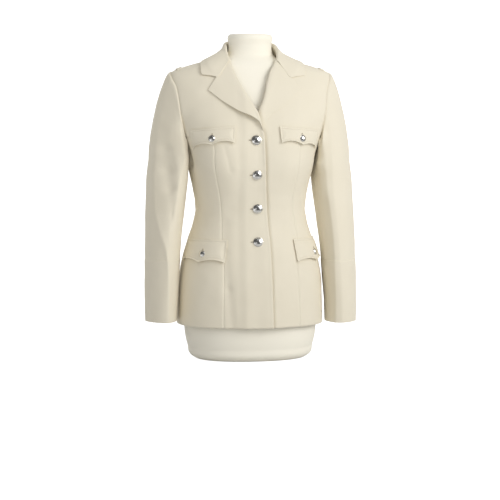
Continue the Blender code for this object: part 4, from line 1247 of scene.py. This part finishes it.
def flap(kind, table, side, turned):
    """A flap with a stitched rim: the cloth dips along the stitching and swells on both sides of it."""
    grid = flap_grid(table, side, turned)
    smooth = surface(grid)
    distance = edge_distance(smooth)
    nearest = np.minimum.reduce([distance[edge] for edge in ("bottom", "top", "first", "last")])
    channel = FLAP_STITCH_DEPTH * bell(nearest - FLAP_STITCH_INSET, FLAP_STITCH_WIDTH)
    middle = FLAP_PUFF * smoothstep((nearest - FLAP_STITCH_INSET) / (2 * FLAP_STITCH_INSET))
    free = FLAP_EDGE_LIFT * np.exp(-distance["bottom"] / FLAP_EDGE_REACH)
    free *= FLAP_END_SHARE + (1 - FLAP_END_SHARE) * smoothstep(distance["last"] / FLAP_END_REACH)
    if side > 0:
        free = np.maximum(free, FLAP_SIDE_LIFT * np.exp(-distance["first"] / FLAP_SIDE_REACH))
    lift = WALL + LAYER_GAP + middle - channel + free
    points, normals = on_body(grid, lift)
    node = f"{side_name(side)}_{kind}"
    cloth_piece(node, points, normals, "hung", [side_name(side) + "_front_cloth"])
    flap_stitches(node, points, normals, distance)


def shoulder_place(x, y):
    """The angle and height of the body surface above a point of the plan, near the shoulder seam."""
    low = np.full_like(x, SHOULDER_SEARCH[0])
    high = np.full_like(x, SHOULDER_SEARCH[1])
    angle = np.degrees(np.arctan2(x, -y))
    for _ in range(SEARCH_STEPS):
        middle = (low + high) / 2
        outside = np.linalg.norm(body_point(angle, middle)[..., :2], axis=-1) > np.hypot(x, y)
        low = np.where(outside, middle, low)
        high = np.where(outside, high, middle)
    return np.stack([angle, (low + high) / 2], -1)


def shoulder_loop(side):
    """A strip sewn down at both ends across the shoulder."""
    along = np.linspace(-1, 1, COLUMNS_LOOP + 1)[None, :]
    out = side * (LOOP_CENTRE + LOOP_WIDTH * np.linspace(-0.5, 0.5, ROWS_LOOP + 1))[:, None]
    depth = LOOP_DEPTH + along * LOOP_LENGTH / 2
    grid = shoulder_place(*np.broadcast_arrays(out, depth))
    lift = LOOP_THICKNESS + LOOP_RISE * (1 - along**4) + 0 * grid[..., 0]
    points, normals = on_body(grid, lift)
    name, front = side_name(side) + "_shoulder_loop", side_name(side) + "_front_cloth"
    cloth_piece(name, points, normals, "stretched", [front], thickness=LOOP_THICKNESS)


def frame_at(angle, height):
    """Out of, across and up the cloth at a place."""
    out = body_normal(angle, height)
    across = unit(np.cross(np.array([0, 0, 1.0]), out))
    return out, across, np.cross(out, across)


def button(node, angle, height, scale, lift):
    """A domed metal button with a rolled rim."""
    out, across, up = frame_at(angle, height)
    centre = body_point(angle, height) + out * lift
    turn = np.linspace(0, 2 * math.pi, BUTTON_SIDES, endpoint=False)[:, None]
    ring = across * np.cos(turn) + up * np.sin(turn)
    radius, tall = BUTTON_RADIUS * scale, BUTTON_HEIGHT * scale
    rings = np.array([centre + ring * radius * share + out * tall * rise for share, rise in BUTTON_PROFILE[1:-1]])
    ends = np.array([centre, centre + out * tall])
    faces = grid_faces(0, len(rings), BUTTON_SIDES, wrap=True).tolist()
    last = (len(rings) - 1) * BUTTON_SIDES
    bottom = len(rings) * BUTTON_SIDES
    for k in range(BUTTON_SIDES):
        following = (k + 1) % BUTTON_SIDES
        faces.append((bottom, following, k))
        faces.append((bottom + 1, last + k, last + following))
    all_points = np.concatenate([rings.reshape(-1, 3), ends])
    uvs = np.zeros((len(all_points), 2))
    piece = mesh_object(node + "_dome", all_points, faces, uvs, MATERIALS["metal"])
    finish_piece(piece, "button_metal", node)


def buttons():
    on_overlap = OVERLAP_LIFT + BUTTON_STAND
    for number, (angle, height) in enumerate(FRONT_BUTTONS, 1):
        button(f"front_button_{number}", angle, height, 1.0, on_overlap)
        hole = f"front_buttonhole_{number}"
        worked_hole(hole, angle, height, 180.0, FRONT_HOLE_LENGTH, FRONT_HOLE_SHIFT, overlap_lift)
    on_flap = WALL + LAYER_GAP + SEAM_GAP

    def over_flap(points):
        return WALL + LAYER_GAP + FLAP_PUFF + 0 * points[..., 0]

    for name, angle, height, turned in FLAP_BUTTONS:
        angle = angle + turned * float(skirt_turn(height))
        button(name + "_button", angle, height, FLAP_BUTTON_SCALE, on_flap + FLAP_PUFF)
        worked_hole(name + "_buttonhole", angle, height, 90.0, FLAP_HOLE_LENGTH, FLAP_HOLE_SHIFT, over_flap)


# ---------------------------------------------------------------- dress form

def dress_form():
    """The smooth covered torso that the jacket rests on."""
    angle = np.linspace(0, 360, FORM_SIDES, endpoint=False)
    heights = np.unique(np.concatenate([np.linspace(FORM[0, 0], FORM[-1, 0], FORM_RINGS), FORM[:, 0]]))
    rings = []
    for height in heights:
        x, y = ring_point(angle, *read(FORM, height))
        rings.append(np.stack([x, y, height - shoulder_drop(angle, height)], -1))
    rings = np.array(rings)
    faces = grid_faces(0, len(rings), FORM_SIDES, wrap=True).tolist()
    faces.append(tuple(range(FORM_SIDES))[::-1])
    top = (len(rings) - 1) * FORM_SIDES
    faces.append(tuple(top + k for k in range(FORM_SIDES)))
    uvs = cloth_coordinates(rings).reshape(-1, 2)
    piece = mesh_object("form_cover", rings.reshape(-1, 3), faces, uvs, MATERIALS["form"])
    finish_piece(piece, "form_cover", "dress_form")


# ---------------------------------------------------------------- materials

def new_material(name, colour, roughness, metallic=0.0, sheen=0.0):
    made = bpy.data.materials.new(name)
    made.use_nodes = True
    shader = made.node_tree.nodes["Principled BSDF"]
    shader.inputs["Base Color"].default_value = (*colour, 1.0)
    shader.inputs["Roughness"].default_value = roughness
    shader.inputs["Metallic"].default_value = metallic
    shader.inputs["Sheen Weight"].default_value = sheen
    shader.inputs["Sheen Roughness"].default_value = 0.5
    return made, shader


def feed(tree, socket, value):
    """Sets an input to a value, or links it to another node's output."""
    if isinstance(value, bpy.types.NodeSocket):
        tree.links.new(value, socket)
    else:
        socket.default_value = value


def add_node(tree, kind, **inputs):
    node = tree.nodes.new("ShaderNode" + kind)
    for name, value in inputs.items():
        feed(tree, node.inputs[name.replace("_", " ")], value)
    return node


def math_node(tree, operation, first, second=0.0):
    node = add_node(tree, "Math")
    node.operation = operation
    feed(tree, node.inputs[0], first)
    feed(tree, node.inputs[1], second)
    return node.outputs[0]


def object_noise(tree, scale, detail):
    """Noise in the object's own space."""
    place = add_node(tree, "TexCoord").outputs["Object"]
    return add_node(tree, "TexNoise", Vector=place, Scale=scale, Detail=detail).outputs[0]


def waves(tree, x, y, bearing, length):
    """Stripes across the cloth: x and y are metres, bearing the way they run and length their spacing."""
    a = math.radians(bearing)
    turned = math_node(
        tree, "ADD", math_node(tree, "MULTIPLY", x, math.cos(a)), math_node(tree, "MULTIPLY", y, math.sin(a))
    )
    return math_node(tree, "SINE", math_node(tree, "MULTIPLY", turned, 2 * math.pi / length))


def cloth_height(tree, wale, bearing):
    """The height of a woven surface: wales, crossed by threads, loosened by a fine noise."""
    place = add_node(tree, "UVMap")
    place.uv_map = "cloth"
    split = add_node(tree, "SeparateXYZ", Vector=place.outputs[0])
    x, y = split.outputs[0], split.outputs[1]
    ribs = waves(tree, x, y, bearing, wale)
    threads = waves(tree, x, y, bearing + CROSS_BEARING, wale * CROSS_SPACING)
    woven = math_node(tree, "ADD", math_node(tree, "MULTIPLY", ribs, 0.6), math_node(tree, "MULTIPLY", threads, 0.25))
    return math_node(tree, "ADD", woven, object_noise(tree, FUZZ_SCALE, 3.0))


def tinted(tree, shader, dark, light, scale):
    """A colour that drifts slowly over the cloth between two near values."""
    drift = object_noise(tree, scale, 4.0)
    blend = add_node(tree, "Mix")
    blend.data_type = "RGBA"
    feed(tree, blend.inputs["Factor"], drift)
    for socket in blend.inputs:
        if socket.type == "RGBA":
            socket.default_value = (*(dark if socket.name == "A" else light), 1.0)
    colour = [socket for socket in blend.outputs if socket.type == "RGBA"][0]
    feed(tree, shader.inputs["Base Color"], colour)


def bumped(tree, shader, height, distance, strength):
    bump = add_node(tree, "Bump", Strength=strength, Distance=distance, Height=height)
    feed(tree, shader.inputs["Normal"], bump.outputs[0])


def woven_material(name, colour, roughness, sheen, dark, light, drift, wale, bearing, distance, strength):
    """Cloth: its colour drifts between dark and light, and wales run along a bearing on its surface."""
    made, shader = new_material(name, colour, roughness, sheen=sheen)
    tree = made.node_tree
    tinted(tree, shader, dark, light, drift)
    bumped(tree, shader, cloth_height(tree, wale, bearing), distance, strength)
    return made


def plain_material(name, dark, light, roughness):
    made, shader = new_material(name, light, roughness)
    tinted(made.node_tree, shader, dark, light, 400.0)
    return made


def metal_material():
    made, shader = new_material("silver_metal", (0.80, 0.79, 0.76), 0.16, metallic=1.0)
    tree = made.node_tree
    bumped(tree, shader, object_noise(tree, 700.0, 3.0), 0.00003, 0.25)
    return made


def make_materials():
    return {
        "cloth": woven_material(
            "ivory_twill", colour=(0.80, 0.745, 0.61), roughness=0.88, sheen=0.18,
            dark=(0.793, 0.728, 0.580), light=(0.823, 0.762, 0.621), drift=14.0,
            wale=0.0009, bearing=63.0, distance=0.00012, strength=0.35,
        ),
        "form": woven_material(
            "cream_jersey", colour=(0.90, 0.85, 0.72), roughness=0.82, sheen=0.12,
            dark=(0.940, 0.895, 0.765), light=(0.965, 0.922, 0.800), drift=9.0,
            wale=0.0013, bearing=0.0, distance=0.00010, strength=0.30,
        ),
        "metal": metal_material(),
        # the thread is a darker ivory than the cloth: partly its own colour, partly painted shade that darkens the
        # buttonholes and stitch rows
        "thread": plain_material("ivory_thread", (0.56, 0.50, 0.39), (0.66, 0.60, 0.47), 0.7),
        # near-black sheet for a buttonhole's opening: painted shade
        "slit": plain_material("slit_shade", (0.05, 0.04, 0.03), (0.08, 0.07, 0.05), 0.95),
    }


# ---------------------------------------------------------------- stage, light and camera

def aim(made, place, target):
    made.location = place
    made.rotation_euler = (Vector(target) - Vector(place)).to_track_quat("-Z", "Y").to_euler()


def camera():
    a = math.radians(CAMERA_BEARING)
    place = Vector((math.sin(a) * CAMERA_RUN, -math.cos(a) * CAMERA_RUN, CAMERA_HEIGHT))
    data = bpy.data.cameras.new("camera")
    data.sensor_width = SENSOR
    data.lens = (Vector(LOOK_AT) - place).length / METRES_PER_PIXEL * SENSOR / FRAME_PIXELS
    data.clip_end = CLIP_END
    made = add_object("camera", data)
    aim(made, place, LOOK_AT)
    bpy.context.scene.camera = made


def light_lobe(tree, place, direction, strength, sharpness=1.0):
    """Light that is strongest from one direction."""
    facing = add_node(tree, "VectorMath")
    facing.operation = "DOT_PRODUCT"
    feed(tree, facing.inputs[0], place)
    feed(tree, facing.inputs[1], direction)
    towards = math_node(tree, "MAXIMUM", facing.outputs["Value"], 0.0)
    return math_node(tree, "MULTIPLY", math_node(tree, "POWER", towards, sharpness), strength)


def world():
    """Soft surroundings, lit differently from each side and plain white behind the object."""
    made = bpy.data.worlds.new("studio")
    bpy.context.scene.world = made
    made.use_nodes = True
    tree = made.node_tree
    background = tree.nodes["Background"]
    place = add_node(tree, "TexCoord").outputs["Generated"]
    level = 0.0
    for direction, strength in WORLD_LIGHT:
        level = math_node(tree, "ADD", light_lobe(tree, place, direction, strength), level)
    reflected = REFLECTED_DIM
    for direction, strength, sharpness in REFLECTED_LIGHT:
        lobe = light_lobe(tree, place, unit(np.array(direction)), strength, sharpness)
        reflected = math_node(tree, "ADD", lobe, reflected)
    seen = add_node(tree, "LightPath")
    mirrored = seen.outputs["Is Glossy Ray"]
    plain = math_node(tree, "MULTIPLY", level, math_node(tree, "SUBTRACT", 1.0, mirrored))
    level = math_node(tree, "ADD", plain, math_node(tree, "MULTIPLY", reflected, mirrored))
    strength = math_node(tree, "MAXIMUM", level, seen.outputs["Is Camera Ray"])
    feed(tree, background.inputs["Color"], WHITE)
    feed(tree, background.inputs["Strength"], strength)


def key_light():
    data = bpy.data.lights.new("key", "AREA")
    data.shape = "DISK"
    data.size = KEY_SIZE
    data.energy = KEY_POWER
    aim(add_object("key", data), KEY_PLACE, KEY_TARGET)


def floor():
    """A pale round floor that fades out at its rim."""
    mesh = bpy.data.meshes.new("floor")
    shape = bmesh.new()
    bmesh.ops.create_circle(shape, cap_ends=True, radius=FLOOR_RADIUS, segments=FLOOR_SIDES)
    shape.to_mesh(mesh)
    shape.free()
    made_material, shader = new_material("pale_floor", (FLOOR_TONE, FLOOR_TONE, FLOOR_TONE), 0.9)
    tree = made_material.node_tree
    feed(tree, shader.inputs["Emission Color"], WHITE)
    # the floor looks as white as the background, but throws less light
    seen = add_node(tree, "LightPath").outputs["Is Camera Ray"]
    glow = math_node(tree, "ADD", math_node(tree, "MULTIPLY", seen, FLOOR_GLOW_SEEN), FLOOR_GLOW)
    feed(tree, shader.inputs["Emission Strength"], glow)
    length = add_node(tree, "VectorMath")
    length.operation = "LENGTH"
    feed(tree, length.inputs[0], add_node(tree, "TexCoord").outputs["Object"])
    fade = add_node(
        tree, "MapRange", From_Min=FLOOR_FADE[0], From_Max=FLOOR_FADE[1], To_Min=1.0, To_Max=0.0,
        Value=length.outputs["Value"],
    )
    fade.interpolation_type = "SMOOTHERSTEP"
    feed(tree, shader.inputs["Alpha"], fade.outputs["Result"])
    mesh.materials.append(made_material)
    add_object("floor", mesh)


# ---------------------------------------------------------------- the whole

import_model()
MATERIALS = make_materials()
camera()
world()
key_light()
floor()
bpy.context.scene.view_settings.view_transform = "Standard"

dress_form()
for body_side in (-1, 1):
    front_panel(body_side)
    side_panel(body_side)
    back_panel(body_side)
    lapel(body_side)
    sleeve(body_side)
    cuff(body_side)
    flap("chest_flap", CHEST_FLAP, body_side, turned=False)
    flap("lower_flap", LOWER_FLAP, body_side, turned=True)
    shoulder_loop(body_side)
collar()
buttons()
